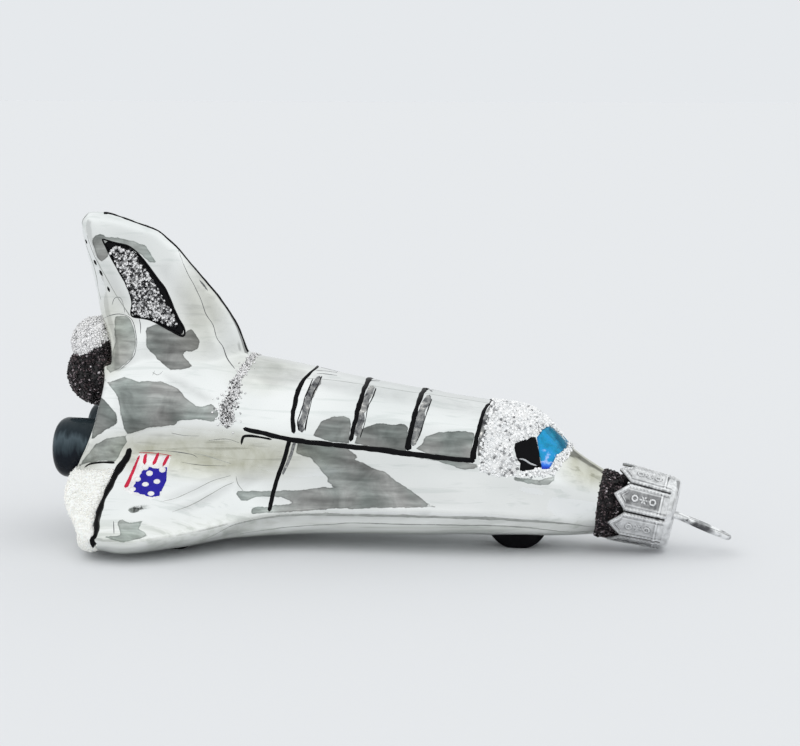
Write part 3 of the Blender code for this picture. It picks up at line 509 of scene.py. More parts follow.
# Warm reflections painted on the glass: columns centre (y on both sides), radii, strength
WARM_REFLECTION_ZONES = [
    ((-28, 10.2, 14.9), (17, 4.6, 3.5), 1.25),
    ((32, 2.0, 13.6), (5.5, 5, 3.4), 1.25),
    ((-30.5, 2.0, 37.0), (4, 5, 9), 0.5),
    ((-21, 2.5, 25.5), (6, 4, 3), 0.55),
    ((-45.5, 3.0, 30.0), (4, 4, 8), 0.8),
    ((-47, 13, 13), (4, 5, 5), 0.5),
    ((-20, 3.0, 28.5), (8, 4, 4), 0.35),
]
WARM_REFLECTION_REACH = 1.35
# Heights between which the painted shade on the hull's underside fades out, and how strong it is at them: a
# darker, streaky reflection of the floor and of the shadow under the hull
UNDERSIDE_SHADE_HEIGHTS = [5.0, 7.0]
UNDERSIDE_SHADE_LEVELS = [0.75, 0.0]

# Colours over noise or tone, as ramps of (position, colour)
SILVER_STOPS = [(0.35, (0.84, 0.86, 0.85)), (0.65, (0.92, 0.93, 0.92))]
# Colour of the warm painted reflections
WARM_REFLECTION_STOPS = [(0.3, (0.52, 0.515, 0.41)), (0.7, (0.76, 0.76, 0.67))]
# Colour of the painted shade on the underside
UNDERSIDE_SHADE_STOPS = [(0.36, (0.66, 0.68, 0.63)), (0.47, (0.80, 0.815, 0.77)), (0.6, (0.90, 0.91, 0.88))]
STREAK_STOPS = [(0.34, (0.90, 0.915, 0.91)), (0.44, 1.0)]
COMBED_STOPS = [(0.34, (0.72, 0.72, 0.70)), (0.45, 1.0)]
# Greenish and pinkish tints inside the painted grey reflection patches
CAST_STOPS = [(0.38, (0.93, 1.0, 0.965)), (0.62, (1.0, 0.985, 0.965))]
# Navy of the bells up their height, with lighter bands painted on it as highlights and reflections
LACQUER_AND_HIGHLIGHT_STOPS = [(0.06, (0.03, 0.04, 0.045)), (0.16, (0.004, 0.006, 0.01)), (0.42, (0.004, 0.007, 0.012)),
                 (0.55, (0.03, 0.045, 0.055)), (0.68, (0.06, 0.085, 0.1)), (0.8, (0.012, 0.02, 0.026)),
                 (0.92, (0.02, 0.03, 0.036))]
# Blue of the windshield, with a pale stop painted in as a highlight streak
BLUE_AND_HIGHLIGHT_STOPS = [(0.3, (0.01, 0.02, 0.4)), (0.48, (0.012, 0.09, 0.72)), (0.58, (0.04, 0.24, 0.88)),
              (0.64, (0.4, 0.58, 0.98)), (0.69, (0.01, 0.32, 0.72)), (0.8, (0.0, 0.3, 0.55)),
              (0.88, (0.0, 0.2, 0.38)), (1.0, (0.0, 0.3, 0.5))]
BLUE_EDGE_STOPS = [(0.0, (0.02, 0.02, 0.12)), (0.2, (0.2, 0.2, 0.6)), (0.42, 1.0)]
# Colours of the painted reflections beside the bay's black lines
LINE_REFLECTION_STOPS = [(0.34, (0.04, 0.04, 0.045)), (0.46, (0.17, 0.175, 0.18)), (0.6, (0.36, 0.36, 0.35)),
              (0.7, (0.9, 0.88, 0.84))]
FOIL_STOPS = [(0.36, (0.7, 0.705, 0.71)), (0.5, (0.9, 0.905, 0.91)), (0.66, 1.0)]
# Colour of the painted shade on the cap's foil
FOIL_PAINTED_SHADE = (0.05, 0.05, 0.055)
WIRE_STOPS = [(0.36, (0.1, 0.1, 0.105)), (0.47, (0.4, 0.405, 0.41)), (0.56, (0.92, 0.925, 0.93))]
# Places at which the windshield's colours run, in metres: heights and stations
BLUE_HEIGHTS = (0.0135, 0.0195)
BLUE_STATIONS = (0.0225, 0.0265)
# Height in metres at which the bells' colour starts to run up, under their painted highlight bands
LACQUER_FOOT = 0.010

# Enamels: colour, roughness, more values of the shader
PAINTS = {
    "black_paint": ((0.004, 0.004, 0.005), 0.3, {"Specular_IOR_Level": 0.08}),
    # The next three are painted light laid on as strokes: dark reflection lines, a pale highlight, pale
    # reflection lines
    "dark_reflection_paint": ((0.15, 0.155, 0.16), 0.12, {"Metallic": 0.7}),
    "pale_highlight_paint": ((0.62, 0.64, 0.66), 0.2, {"Metallic": 0.6}),
    "pale_reflection_paint": ((0.46, 0.475, 0.45), 0.12, {"Metallic": 1.0}),
    "glitter_glue": ((0.5, 0.5, 0.505), 0.4, {}),
    "black_glue": ((0.008, 0.007, 0.008), 0.5, {}),
    "clear_glue": ((0.94, 0.95, 0.95), 0.3, {}),
    "white_paint": ((0.93, 0.93, 0.93), 0.35, {}),
    "red_paint": ((0.66, 0.015, 0.06), 0.3, {"Specular_IOR_Level": 0.2}),
    "blue_paint": ((0.02, 0.014, 0.36), 0.35, {"Specular_IOR_Level": 0.15}),
}
# Small pieces: colours over their tone, least and greatest roughness, more values of the shader.
# The dome's glitter is black for tones up to 0.5 and silver over it.
GRAINS = {
    "silver_flakes": ([(0.0, (0.01, 0.01, 0.012)), (0.28, (0.05, 0.05, 0.055)), (0.42, (0.45, 0.455, 0.46)),
                       (0.6, (0.97, 0.97, 0.98)), (1.0, 1.0)], (0.2, 0.4), {"Metallic": 0.4}),
    "bright_flakes": ([(0.0, (0.08, 0.08, 0.085)), (0.07, (0.35, 0.35, 0.36)), (0.14, (0.92, 0.92, 0.93)),
                       (1.0, 1.0)], (0.3, 0.5), {}),
    "dome_glitter": ([(0.0, (0.004, 0.004, 0.005)), (0.4, (0.02, 0.016, 0.018)), (0.49, (0.3, 0.25, 0.27)),
                      (0.5, (0.08, 0.08, 0.085)), (0.53, (0.95, 0.95, 0.96)), (1.0, 1.0)], (0.3, 0.5), {}),
    "black_flakes": ([(0.0, (0.004, 0.004, 0.005)), (0.5, (0.015, 0.012, 0.014)), (0.8, (0.1, 0.07, 0.075)),
                      (0.95, (0.3, 0.25, 0.27)), (1.0, (0.9, 0.85, 0.88))], (0.2, 0.45), {"Metallic": 0.35}),
    "white_beads": ([(0.0, (0.14, 0.145, 0.15)), (0.06, (0.42, 0.43, 0.44)), (0.17, (0.78, 0.80, 0.81)),
                     (1.0, (0.98, 0.985, 0.985))], (0.06, 0.2), {}),
    "cream_frost": ([(0.0, (0.90, 0.90, 0.85)), (0.5, (0.95, 0.95, 0.91)), (1.0, (0.98, 0.98, 0.96))],
                    (0.35, 0.7), {"Subsurface_Weight": 0.1}),
}


def camera_axes():
    """Right, up and backward directions of the camera."""
    back = np.array([math.sin(VIEW_TURN) * math.cos(VIEW_RISE), -math.cos(VIEW_TURN) * math.cos(VIEW_RISE),
                     math.sin(VIEW_RISE)])
    right = np.array([math.cos(VIEW_TURN), math.sin(VIEW_TURN), 0.0])
    return right, np.cross(back, right), back


RIGHT, UP, BACK = camera_axes()
EYE = np.array(VIEW_TARGET) + VIEW_DISTANCE * BACK


def to_pixels(points):
    """Photograph pixels of millimetre points."""
    away = np.asarray(points, float) - EYE
    depth = -(away @ BACK)
    return np.stack([PHOTO[0] / 2 + FOCAL_PIXELS * (away @ RIGHT) / depth,
                     PHOTO[1] / 2 - FOCAL_PIXELS * (away @ UP) / depth], axis=-1)


def pixel_ray(pixel):
    """Direction from the eye through a photograph pixel."""
    across = (pixel[0] - PHOTO[0] / 2) / FOCAL_PIXELS
    down = (pixel[1] - PHOTO[1] / 2) / FOCAL_PIXELS
    ray = across * RIGHT - down * UP - BACK
    return ray / np.linalg.norm(ray)


def add_camera():
    data = bpy.data.cameras.new("camera")
    data.sensor_width = SENSOR
    data.lens = LENS
    data.clip_start, data.clip_end = CLIP
    camera = bpy.data.objects.new("camera", data)
    bpy.context.scene.collection.objects.link(camera)
    turn = Matrix([[RIGHT[k], UP[k], BACK[k]] for k in range(3)]).to_4x4()
    turn.translation = Vector(EYE) * MM
    camera.matrix_world = turn
    bpy.context.scene.camera = camera


# Node helpers

def feed(tree, socket, value):
    """Links a socket to an output, or sets its plain value."""
    if isinstance(value, bpy.types.NodeSocket):
        tree.links.new(value, socket)
    else:
        socket.default_value = (*value, 1.0) if socket.type == "RGBA" else value


def plug(tree, **values):
    """Links and plain values of the shader's own sockets."""
    shader = tree.nodes["Principled BSDF"]
    for key, value in values.items():
        feed(tree, shader.inputs[key.replace("_", " ")], value)


def new_material(name, **values):
    material = bpy.data.materials.new(name)
    material.use_nodes = True
    plug(material.node_tree, **values)
    return material, material.node_tree


def add_node(tree, kind, links=(), **settings):
    """A node with its settings; links are (input name or number, socket or value) pairs."""
    node = tree.nodes.new(kind)
    for key, value in settings.items():
        setattr(node, key, value)
    for key, value in links:
        feed(tree, node.inputs[key], value)
    return node


def calc(tree, operation, *values, clamp=False):
    """A Math node's result over sockets and numbers."""
    node = add_node(tree, "ShaderNodeMath", enumerate(values), operation=operation, use_clamp=clamp)
    return node.outputs["Value"]


def map_range(tree, value, low, high, start=0.0, end=1.0, **settings):
    """The value's range from start to end turned into low to high."""
    links = [("Value", value), ("From Min", start), ("From Max", end), ("To Min", low), ("To Max", high)]
    return add_node(tree, "ShaderNodeMapRange", links, **settings).outputs["Result"]


def step_up(tree, value, edge, width):
    """0 below the edge and 1 above it, with a soft edge."""
    past = calc(tree, "SUBTRACT", value, edge)
    return map_range(tree, past, 0.0, 1.0, -width, width, interpolation_type="SMOOTHSTEP")


def axes_of(tree, place):
    """The three numbers of a vector."""
    node = add_node(tree, "ShaderNodeSeparateXYZ", [("Vector", place)])
    return [node.outputs[axis] for axis in "XYZ"]


def object_place(tree):
    """The object's own coordinates, in metres."""
    return add_node(tree, "ShaderNodeTexCoord").outputs["Object"]


def cloud(tree, place, scale, detail=2.0, roughness=0.5, distortion=0.0):
    """Noise over coordinates."""
    node = add_node(tree, "ShaderNodeTexNoise", [("Vector", place), ("Scale", scale), ("Detail", detail),
                                                 ("Roughness", roughness), ("Distortion", distortion)])
    return node.outputs["Fac"]


def object_noise(tree, *values):
    """Noise over the object; the first value is features per metre."""
    return cloud(tree, object_place(tree), *values)


def long_noise(tree, scales, distortion=0.4):
    """Noise drawn out over the object; scales are features per metre along X, Y and Z."""
    stretch = add_node(tree, "ShaderNodeMapping", [("Vector", object_place(tree)), ("Scale", scales)])
    return cloud(tree, stretch.outputs["Vector"], 1.0, 3.0, 0.5, distortion)


def attribute(tree, name):
    """The number that paint_points left on each point."""
    return add_node(tree, "ShaderNodeAttribute", attribute_name=name).outputs["Fac"]


def ramp(tree, factor, stops):
    """Colour ramp over a factor; stops are (position, colour) pairs, a plain number being a grey."""
    node = add_node(tree, "ShaderNodeValToRGB", [("Fac", factor)])
    band = node.color_ramp
    while len(band.elements) < len(stops):
        band.elements.new(0.5)
    for element, (position, color) in zip(band.elements, stops):
        element.position = position
        element.color = (*(color if isinstance(color, tuple) else (color,) * 3), 1.0)
    return node.outputs["Color"]


def mix(tree, factor, first, second, blend="MIX"):
    """Two colours blended by a factor."""
    node = add_node(tree, "ShaderNodeMix", [("Factor", factor)], data_type="RGBA", blend_type=blend)
    for socket, value in zip([socket for socket in node.inputs if socket.type == "RGBA"], (first, second)):
        feed(tree, socket, value)
    return next(socket for socket in node.outputs if socket.type == "RGBA")


def multiplied(tree, first, second):
    return mix(tree, 1.0, first, second, "MULTIPLY")


def even_color(tree, value):
    """A grey of the given level."""
    node = add_node(tree, "ShaderNodeCombineColor", [("Red", value), ("Green", value), ("Blue", value)])
    return node.outputs["Color"]


def bumps(tree, *layers):
    """Chained bumps on the shader; layers are (height socket, strength, distance in mm)."""
    links = []
    for height, strength, distance in layers:
        bump = add_node(tree, "ShaderNodeBump", [("Height", height), ("Strength", strength),
                                                 ("Distance", distance * MM)] + links)
        links = [("Normal", bump.outputs["Normal"])]
    plug(tree, Normal=bump.outputs["Normal"])


# Mesh helpers

def add_object(name, mesh, material=None, smooth=True):
    thing = bpy.data.objects.new(name, mesh)
    bpy.context.scene.collection.objects.link(thing)
    if material:
        mesh.materials.append(material)
    if smooth:
        mesh.shade_smooth()
    return thing


def add_piece(name, mesh, material, slot, *nodes, body="glass", smooth=True):
    """A visible piece in its place in the frame: its body and the nodes it stands for; slot is not used."""
    piece = add_object(name, mesh, material, smooth)
    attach(piece, body)
    if nodes:
        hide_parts(*nodes)
    return piece


def set_points(mesh, points):
    mesh.vertices.foreach_set("co", (np.asarray(points, float) * MM).ravel())


def read_rows(items, key, kind=float):
    """Three numbers of each item, as rows."""
    flat = np.empty(len(items) * 3, kind)
    items.foreach_get(key, flat)
    return flat.reshape(-1, 3)


def points_of(mesh):
    return read_rows(mesh.vertices, "co") / MM


def array_mesh(name, points, groups):
    """A mesh from millimetre points and arrays of faces, one array for each number of corners."""
    mesh = bpy.data.meshes.new(name)
    corners = np.concatenate([np.asarray(group, int).ravel() for group in groups])
    sizes = np.concatenate([np.full(len(group), len(group[0])) for group in groups])
    mesh.vertices.add(len(points))
    set_points(mesh, points)
    mesh.loops.add(len(corners))
    mesh.loops.foreach_set("vertex_index", corners)
    mesh.polygons.add(len(sizes))
    mesh.polygons.foreach_set("loop_start", np.concatenate([[0], np.cumsum(sizes)[:-1]]))
    mesh.update(calc_edges=True)
    return mesh


def paint_points(mesh, name, values):
    """Keeps one number for each point of the mesh, for its material to read."""
    layer = mesh.attributes.get(name) or mesh.attributes.new(name, "FLOAT", "POINT")
    layer.data.foreach_set("value", np.full(len(mesh.vertices), values, np.float32))


def turn_outwards(mesh):
    work = bmesh.new()
    work.from_mesh(mesh)
    bmesh.ops.recalc_face_normals(work, faces=work.faces)
    work.to_mesh(mesh)
    work.free()
    return mesh


def ring_quads(count, size, closed=False):
    """Faces between rings of equally many points; closed joins the last ring to the first."""
    k = np.arange(size)
    after = (k + 1) % size
    low = np.arange(count if closed else count - 1)[:, None] * size
    high = (low + size) % (count * size)
    return np.stack([low + k, low + after, high + after, high + k], -1).reshape(-1, 4)


def ring_ends(count, size):
    """The flat faces over the first and the last ring."""
    k = np.arange(size)
    return np.array([k, k + (count - 1) * size])


def loft_mesh(name, rings, closed=False):
    """A skin over rings of equally many points: closed on itself, or with a flat cap at both ends."""
    count, size = len(rings), len(rings[0])
    groups = [ring_quads(count, size, closed)] + ([] if closed else [ring_ends(count, size)])
    return turn_outwards(array_mesh(name, np.concatenate(rings), groups))


def turned_mesh(name, profile, steps, place, closed=False):
    """A turned skin from (radius, height) rows, set in place by a matrix."""
    turn = 2 * math.pi * np.arange(steps) / steps
    rings = [np.stack([r * np.cos(turn), r * np.sin(turn), np.full(steps, h)], -1) for r, h in profile]
    mesh = loft_mesh(name, rings, closed)
    mesh.transform(place)
    return turn_outwards(mesh)


def sheet_quads(rows, columns):
    """Faces of an open sheet of points, and its border as a loop."""
    index = np.arange(rows * columns).reshape(rows, columns)
    quads = np.stack([index[:-1, :-1], index[:-1, 1:], index[1:, 1:], index[1:, :-1]], -1).reshape(-1, 4)
    return quads, np.concatenate([index[0, :-1], index[:-1, -1], index[-1, :0:-1], index[:0:-1, 0]])


def wall_quads(starts, ends, count):
    """Faces between border edges of a sheet and of its lower copy, count points on."""
    return np.stack([starts, ends, ends + count, starts + count], -1)


def applied(thing):
    """The object's mesh as its modifiers leave it, without materials; the object itself is removed."""
    bpy.context.view_layer.update()
    evaluated = thing.evaluated_get(bpy.context.evaluated_depsgraph_get())
    mesh = bpy.data.meshes.new_from_object(evaluated)
    mesh.transform(thing.matrix_world)
    mesh.materials.clear()
    bpy.data.objects.remove(thing, do_unlink=True)
    return mesh


def add_boolean(thing, operation, other):
    modifier = thing.modifiers.new(operation.lower(), "BOOLEAN")
    modifier.operation = operation
    modifier.object = other


# Shape of the glass

def cubic(t, start, start_slope, end, end_slope, span=1):
    """Place on a curve between two values with given slopes over a span, t from 0 to 1."""
    return ((1 + 2 * t) * (1 - t) ** 2 * start + t * (1 - t) ** 2 * span * start_slope
            + t * t * (3 - 2 * t) * end + t * t * (t - 1) * span * end_slope)


def flow(knots, x):
    """Value of a smooth line through (x, value) knots that never overshoots them."""
    xs, ys = np.array(knots, float).T
    step = np.diff(xs)
    slope = np.diff(ys) / step
    tangent = np.concatenate([slope[:1], np.zeros(len(xs) - 2), slope[-1:]])
    for k in range(1, len(xs) - 1):
        if slope[k - 1] * slope[k] > 0:
            tangent[k] = 2 * slope[k - 1] * slope[k] / (slope[k - 1] + slope[k])
    k = int(np.clip(np.searchsorted(xs, x) - 1, 0, len(step) - 1))
    return cubic((x - xs[k]) / step[k], ys[k], tangent[k], ys[k + 1], tangent[k + 1], step[k])


def round_ring(points, steps):
    """Closed smooth curve through the points, spaced by the root of their distances."""
    count = len(points)
    ring = []
    for k in range(count):
        p0, p1, p2, p3 = (points[(k + j - 1) % count] for j in range(4))
        d1, d2, d3 = (max(np.linalg.norm(b - a) ** 0.5, TINY) for a, b in ((p0, p1), (p1, p2), (p2, p3)))
        m1 = (p2 - p1) + d2 * ((p1 - p0) / d1 - (p2 - p0) / (d1 + d2))
        m2 = (p2 - p1) + d2 * ((p3 - p2) / d3 - (p3 - p1) / (d2 + d3))
        ring += [cubic(t, p1, m1, p2, m2) for t in np.arange(steps) / steps]
    return ring


def whole_ring(side):
    """A closed section from its starboard half, keel to crown."""
    return round_ring(side + [mirrored(point) for point in side[-2:0:-1]], RING_STEPS)


def mirrored(points):
    return points * np.array([1.0, -1.0, 1.0])


def neck_point(along, side, up):
    """Millimetre point at a distance along the neck's axis, to port and up from it."""
    c, s = math.cos(NECK_PITCH), math.sin(NECK_PITCH)
    return np.array([NECK_ROOT[0] + along * c + up * s, side, NECK_ROOT[2] - along * s + up * c])


def axis_matrix(root, pitch):
    """Object frame on a root: local Z runs out to the nose and down by the pitch, local Y to port."""
    c, s = math.cos(pitch), math.sin(pitch)
    matrix = Matrix([(-s, 0, c), (0, 1, 0), (-c, 0, -s)]).to_4x4()
    matrix.translation = Vector(root) * MM
    return matrix


def wire_matrix():
    """The cap's frame turned about its axis, as the wire sits in the cap."""
    return axis_matrix(CAP_ROOT, CAP_PITCH) @ Matrix.Rotation(WIRE_TURN, 4, "Z")


def hull_rings():
    """Sections of the hull from tail to neck, each through one point of every line."""
    lines = []
    for knots, angle in zip(HULL_LINES.values(), NECK_ANGLES):
        turn = math.radians(angle)
        end = neck_point(0.0, -NECK_FOOT_RADIUS * math.cos(turn), NECK_FOOT_RADIUS * math.sin(turn))
        lines.append([(x, -y, z) for x, y, z in knots] + [tuple(end)])
    rings = []
    for share in np.linspace(0.0, 1.0, HULL_STATIONS):
        half = []
        for line in lines:
            x = line[0][0] + share * (line[-1][0] - line[0][0])
            half.append(np.array([x] + [flow([(knot[0], knot[k]) for knot in line], x) for k in (1, 2)]))
        rings.append(whole_ring(half))
    middle = np.mean(rings[0], axis=0)
    swell = [middle + share * (np.array(rings[0]) - middle) - (push, 0, 0) for share, push in TAIL_ROUNDING]
    return swell + rings


def fin_rings():
    """Level sections of the fin: a flat slab with a long bevel to its leading edge."""
    rings = []
    for z, lead, trail, bevel, front, middle, rear in FIN_ROWS:
        halfway = 0.5 * (lead - bevel + trail + FIN_TRAIL_BEVEL)
        outline = [(lead, 0.0), (lead - 0.35, 0.45 * front), (lead - bevel, front), (halfway, middle),
                   (trail + FIN_TRAIL_BEVEL, rear), (trail + 0.2, 0.6 * rear), (trail, 0.0)]
        rings.append(whole_ring([np.array([x, -y, z]) for x, y in outline]))
    return rings


def ripple(mesh):
    """Slow waves of the blown glass, in millimetres along the surface's normal."""
    points = points_of(mesh)
    shift = np.zeros(len(points))
    for depth, pitch in RIPPLES:
        shift += depth * np.array([noise.noise(Vector(point * pitch)) for point in points])
    set_points(mesh, points + read_rows(mesh.vertex_normals, "vector") * shift[:, None])
    mesh.update()


def press_folds(mesh):
    """Soft ridges and grooves of the glass along lines seen in the photograph, on both sides alike."""
    surface = Surface(mesh)
    folded = np.abs(surface.points) * (0, -1, 0) + surface.points * (1, 0, 1)
    shift = np.zeros(len(folded))
    for pixels, width, height in FOLDS:
        path = smooth_path(seen_route(surface, pixels), FOLD_STEP)
        reach = FOLD_REACH * width
        near = (folded > path.min(0) - reach).all(1) & (folded < path.max(0) + reach).all(1)
        tree = KDTree(len(path))
        for k, place in enumerate(path):
            tree.insert(place, k)
        tree.balance()
        for point in np.flatnonzero(near):
            _, k, gap = tree.find(folded[point])
            if gap < reach:
                fade = min(1.0, FOLD_FADE * min(k + 0.5, len(path) - k - 0.5) / len(path))
                shift[point] += height * fade * math.exp(-(gap / width) ** 2)
    set_points(mesh, surface.points + surface.normals * shift[:, None])
    mesh.update()


def glass_mesh():
    """The blown body: hull and fin melted together and softened."""
    body = add_object("glass_shell", loft_mesh("glass_shell", hull_rings()), smooth=False)
    fin = add_object("fin_shape", loft_mesh("fin_shape", fin_rings()), smooth=False)
    add_boolean(body, "UNION", fin)
    melt = body.modifiers.new("melt", "REMESH")
    melt.mode = "VOXEL"
    melt.voxel_size = VOXEL * MM
    soften = body.modifiers.new("soften", "SMOOTH")
    soften.factor = 0.5
    soften.iterations = SOFTENING
    mesh = applied(body)
    bpy.data.objects.remove(fin, do_unlink=True)
    press_folds(mesh)
    ripple(mesh)
    return mesh


class Surface:
    """Questions about a mesh's surface, in millimetres."""

    def __init__(self, mesh):
        self.points = points_of(mesh)
        mesh.calc_loop_triangles()
        self.triangles = read_rows(mesh.loop_triangles, "vertices", int)
        self.normals = read_rows(mesh.vertex_normals, "vector")
        self.tree = BVHTree.FromPolygons(self.points.tolist(), self.triangles.tolist())
        a, b, c = (self.points[self.triangles[:, k]] for k in range(3))
        cross = np.cross(b - a, c - a)
        self.areas = np.linalg.norm(cross, axis=1) / 2
        self.centres = (a + b + c) / 3
        self.faces_out = unit(cross)

    def nearest(self, point):
        place, normal, _, _ = self.tree.find_nearest(Vector(point))
        return np.array(place), np.array(normal)

    def seen_at(self, pixel, plane=0.0):
        """Where the photograph shows the surface at a pixel; off its edge, the nearest place."""
        ray = pixel_ray(pixel)
        place, normal, _, _ = self.tree.ray_cast(Vector(EYE), Vector(ray))
        if place is None:
            return self.nearest(EYE + ray * (plane - EYE[1]) / ray[1])
        return np.array(place), np.array(normal)

    def in_sight(self, point):
        """Whether nothing stands between the camera and a place on the surface."""
        way = Vector(point - EYE)
        distance = self.tree.ray_cast(Vector(EYE), way)[3]
        return distance is None or distance > way.length - SIGHT_MARGIN

    def scatter(self, chosen, count, rng):
        """Random places on the chosen triangles, with their normals."""
        chosen = np.flatnonzero(chosen)
        share = self.areas[chosen] / self.areas[chosen].sum()
        corners = self.triangles[chosen[rng.choice(len(chosen), count, p=share)]]
        u, v = rng.random(count), rng.random(count)
        fold = u + v > 1
        u[fold], v[fold] = 1 - u[fold], 1 - v[fold]
        weights = [weight[:, None] for weight in (1 - u - v, u, v)]
        spots, normals = (sum(weight * rows[corners[:, k]] for k, weight in enumerate(weights))
                          for rows in (self.points, self.normals))
        return spots, unit(normals)


def unit(rows):
    return rows / np.maximum(np.linalg.norm(rows, axis=-1, keepdims=True), 1e-12)


def inside(polygon, spots):
    """Which 2-D spots lie in a polygon."""
    polygon = np.asarray(polygon, float)
    x, y = spots[:, 0], spots[:, 1]
    result = np.zeros(len(spots), bool)
    for (x0, y0), (x1, y1) in zip(polygon, np.roll(polygon, -1, axis=0)):
        if y0 != y1:
            result ^= ((y0 > y) != (y1 > y)) & (x < (x1 - x0) * (y - y0) / (y1 - y0) + x0)
    return result


def area_in_view(surface, polygon):
    """Triangles whose place, or its mirror image, the photograph shows inside a polygon of pixels."""
    port = (surface.centres[:, 1:2] > 0) * (0, 1, 0) > 0
    centres = np.where(port, -surface.centres, surface.centres)
    outward = np.where(port, -surface.faces_out, surface.faces_out)
    facing = (outward * unit(centres - EYE)).sum(1) < GRAZING
    return inside(polygon, to_pixels(centres)) & facing


def seen_route(surface, pixels, plane=0.0):
    return np.array([surface.seen_at(pixel, plane)[0] for pixel in pixels])


def line_distance(spots, line):
    """Distance of each flat spot from a broken line."""
    away = np.full(len(spots), np.inf)
    for start, end in zip(line[:-1], line[1:]):
        step = end - start
        share = np.clip((spots - start) @ step / (step @ step), 0, 1)
        away = np.minimum(away, np.linalg.norm(spots - start - share[:, None] * step, axis=1))
    return away


def warm_reflection_of(points):
    """Strength of the warm painted reflection at each point."""
    folded = np.stack([points[:, 0], np.abs(points[:, 1]), points[:, 2]], -1)
    warm_reflection_strength = np.zeros(len(points))
    for centre, radii, strength in WARM_REFLECTION_ZONES:
        away = np.linalg.norm((folded - centre) / radii, axis=1)
        warm_reflection_strength = np.maximum(warm_reflection_strength, strength * np.clip(WARM_REFLECTION_REACH - away, 0, 1))
    return warm_reflection_strength


def shades_of(surface):
    """Depth in mm into the nearest painted grey reflection at each point, its share, and the soft painted
    shade.
    """
    turn = np.where(surface.points[:, 1:2] > 0, -1, 1) * [0, 1, 0] + [1, 0, 1]
    points, normals = surface.points * turn, surface.normals * turn
    spots = to_pixels(points)
    facing = np.einsum("ij,ij->i", normals, EYE - points) > 0
    depth, shares, soft_shade = np.full(len(points), -SHADE_REACH), np.ones(len(points)), np.zeros(len(points))
    margin = SHADE_REACH * PIXELS_PER_MM
    for share, outline, soft in [(*row, False) for row in SHADES] + [(*row, True) for row in SOFT_SHADES]:
        outline = np.array(outline + outline[:1])
        near = facing & (spots > outline.min(0) - margin).all(1) & (spots < outline.max(0) + margin).all(1)
        near = np.flatnonzero(near)
        within = line_distance(spots[near], outline) / PIXELS_PER_MM
        within *= np.where(inside(outline[:-1], spots[near]), 1, -1)
        if soft:
            soft_shade[near] = np.maximum(soft_shade[near], (1 - share) * np.clip(0.5 + within / SHADE_REACH, 0, 1))
            continue
        deeper = within > depth[near]
        depth[near[deeper]], shares[near[deeper]] = within[deeper], share
    hidden = [index for index in np.flatnonzero((depth > -SHADE_REACH) | (soft_shade > 0))
              if not surface.in_sight(points[index])]
    depth[hidden], soft_shade[hidden] = -SHADE_REACH, 0
    return np.clip(depth, -SHADE_REACH, SHADE_REACH), shares, soft_shade


# Materials

@cache
def glass_material():
    """Mirror of the silver lining with painted light: warm reflections, underside shade, soft shade and grey
    reflection patches, all painted.
    """
    material, tree = new_material("silvered_glass", Metallic=1.0)
    silver = ramp(tree, object_noise(tree, 60, 3), SILVER_STOPS)
    long = long_noise(tree, (55, 900, 900))
    # Underside painted darker and streaky, as the reflection of the floor and of the shadow under the hull
    silver = mix(tree, attribute(tree, "underside_shade"), multiplied(tree, silver, ramp(tree, long, STREAK_STOPS)),
                 ramp(tree, long, UNDERSIDE_SHADE_STOPS))
    # Warm reflections painted in zones, combed into streaks
    warm = ramp(tree, object_noise(tree, 260, 4, 0.6, 0.6), WARM_REFLECTION_STOPS)
    combed = ramp(tree, long_noise(tree, (110, 1300, 1300)), COMBED_STOPS)
    lined = mix(tree, attribute(tree, "warm_reflection_strength"), silver, multiplied(tree, warm, combed))
    # Soft painted shade, mottled
    mottled = calc(tree, "MULTIPLY_ADD", object_noise(tree, 300, 4, 0.6, 0.8), 1.6, 0.2)
    dimmed = calc(tree, "SUBTRACT", 1.0, calc(tree, "MULTIPLY", attribute(tree, "soft_shade"), mottled))
    lined = multiplied(tree, lined, even_color(tree, dimmed))

    # Grey reflections painted in patches: rough edges, a darker painted rim, clouded and combed insides
    rough_edge = calc(tree, "MULTIPLY_ADD", object_noise(tree, 420, 4, 0.65, 0.5), 0.8, -0.4)
    depth = calc(tree, "ADD", attribute(tree, "depth"), rough_edge)
    mask = calc(tree, "MULTIPLY_ADD", depth, 9.0, 0.5, clamp=True)
    off_edge = calc(tree, "MULTIPLY", calc(tree, "ABSOLUTE", calc(tree, "SUBTRACT", depth, 0.1)), 9.0)
    rim = calc(tree, "SUBTRACT", 1.0, off_edge, clamp=True)
    clouded = calc(tree, "MULTIPLY_ADD", object_noise(tree, 240, 5, 0.62, 0.8), 1.3, 0.35)
    combed_grey = calc(tree, "MULTIPLY_ADD", long_noise(tree, (140, 800, 800)), 1.9, 0.05)
    grey = calc(tree, "MULTIPLY", calc(tree, "MULTIPLY", attribute(tree, "share"), clouded), combed_grey)
    grey = calc(tree, "MULTIPLY", grey, calc(tree, "MULTIPLY_ADD", rim, -0.3, 1.0), clamp=True)
    cast = ramp(tree, object_noise(tree, 130, 3), CAST_STOPS)
    shaded = multiplied(tree, lined, multiplied(tree, cast, even_color(tree, grey)))
    plug(tree, Base_Color=mix(tree, mask, lined, shaded),
         Roughness=map_range(tree, object_noise(tree, 120, 3), 0.015, 0.07))
    bumps(tree, (object_noise(tree, 170, 2, 0.5, 0.4), 0.35, 0.12), (object_noise(tree, 900, 2), 0.15, 0.02))
    return material


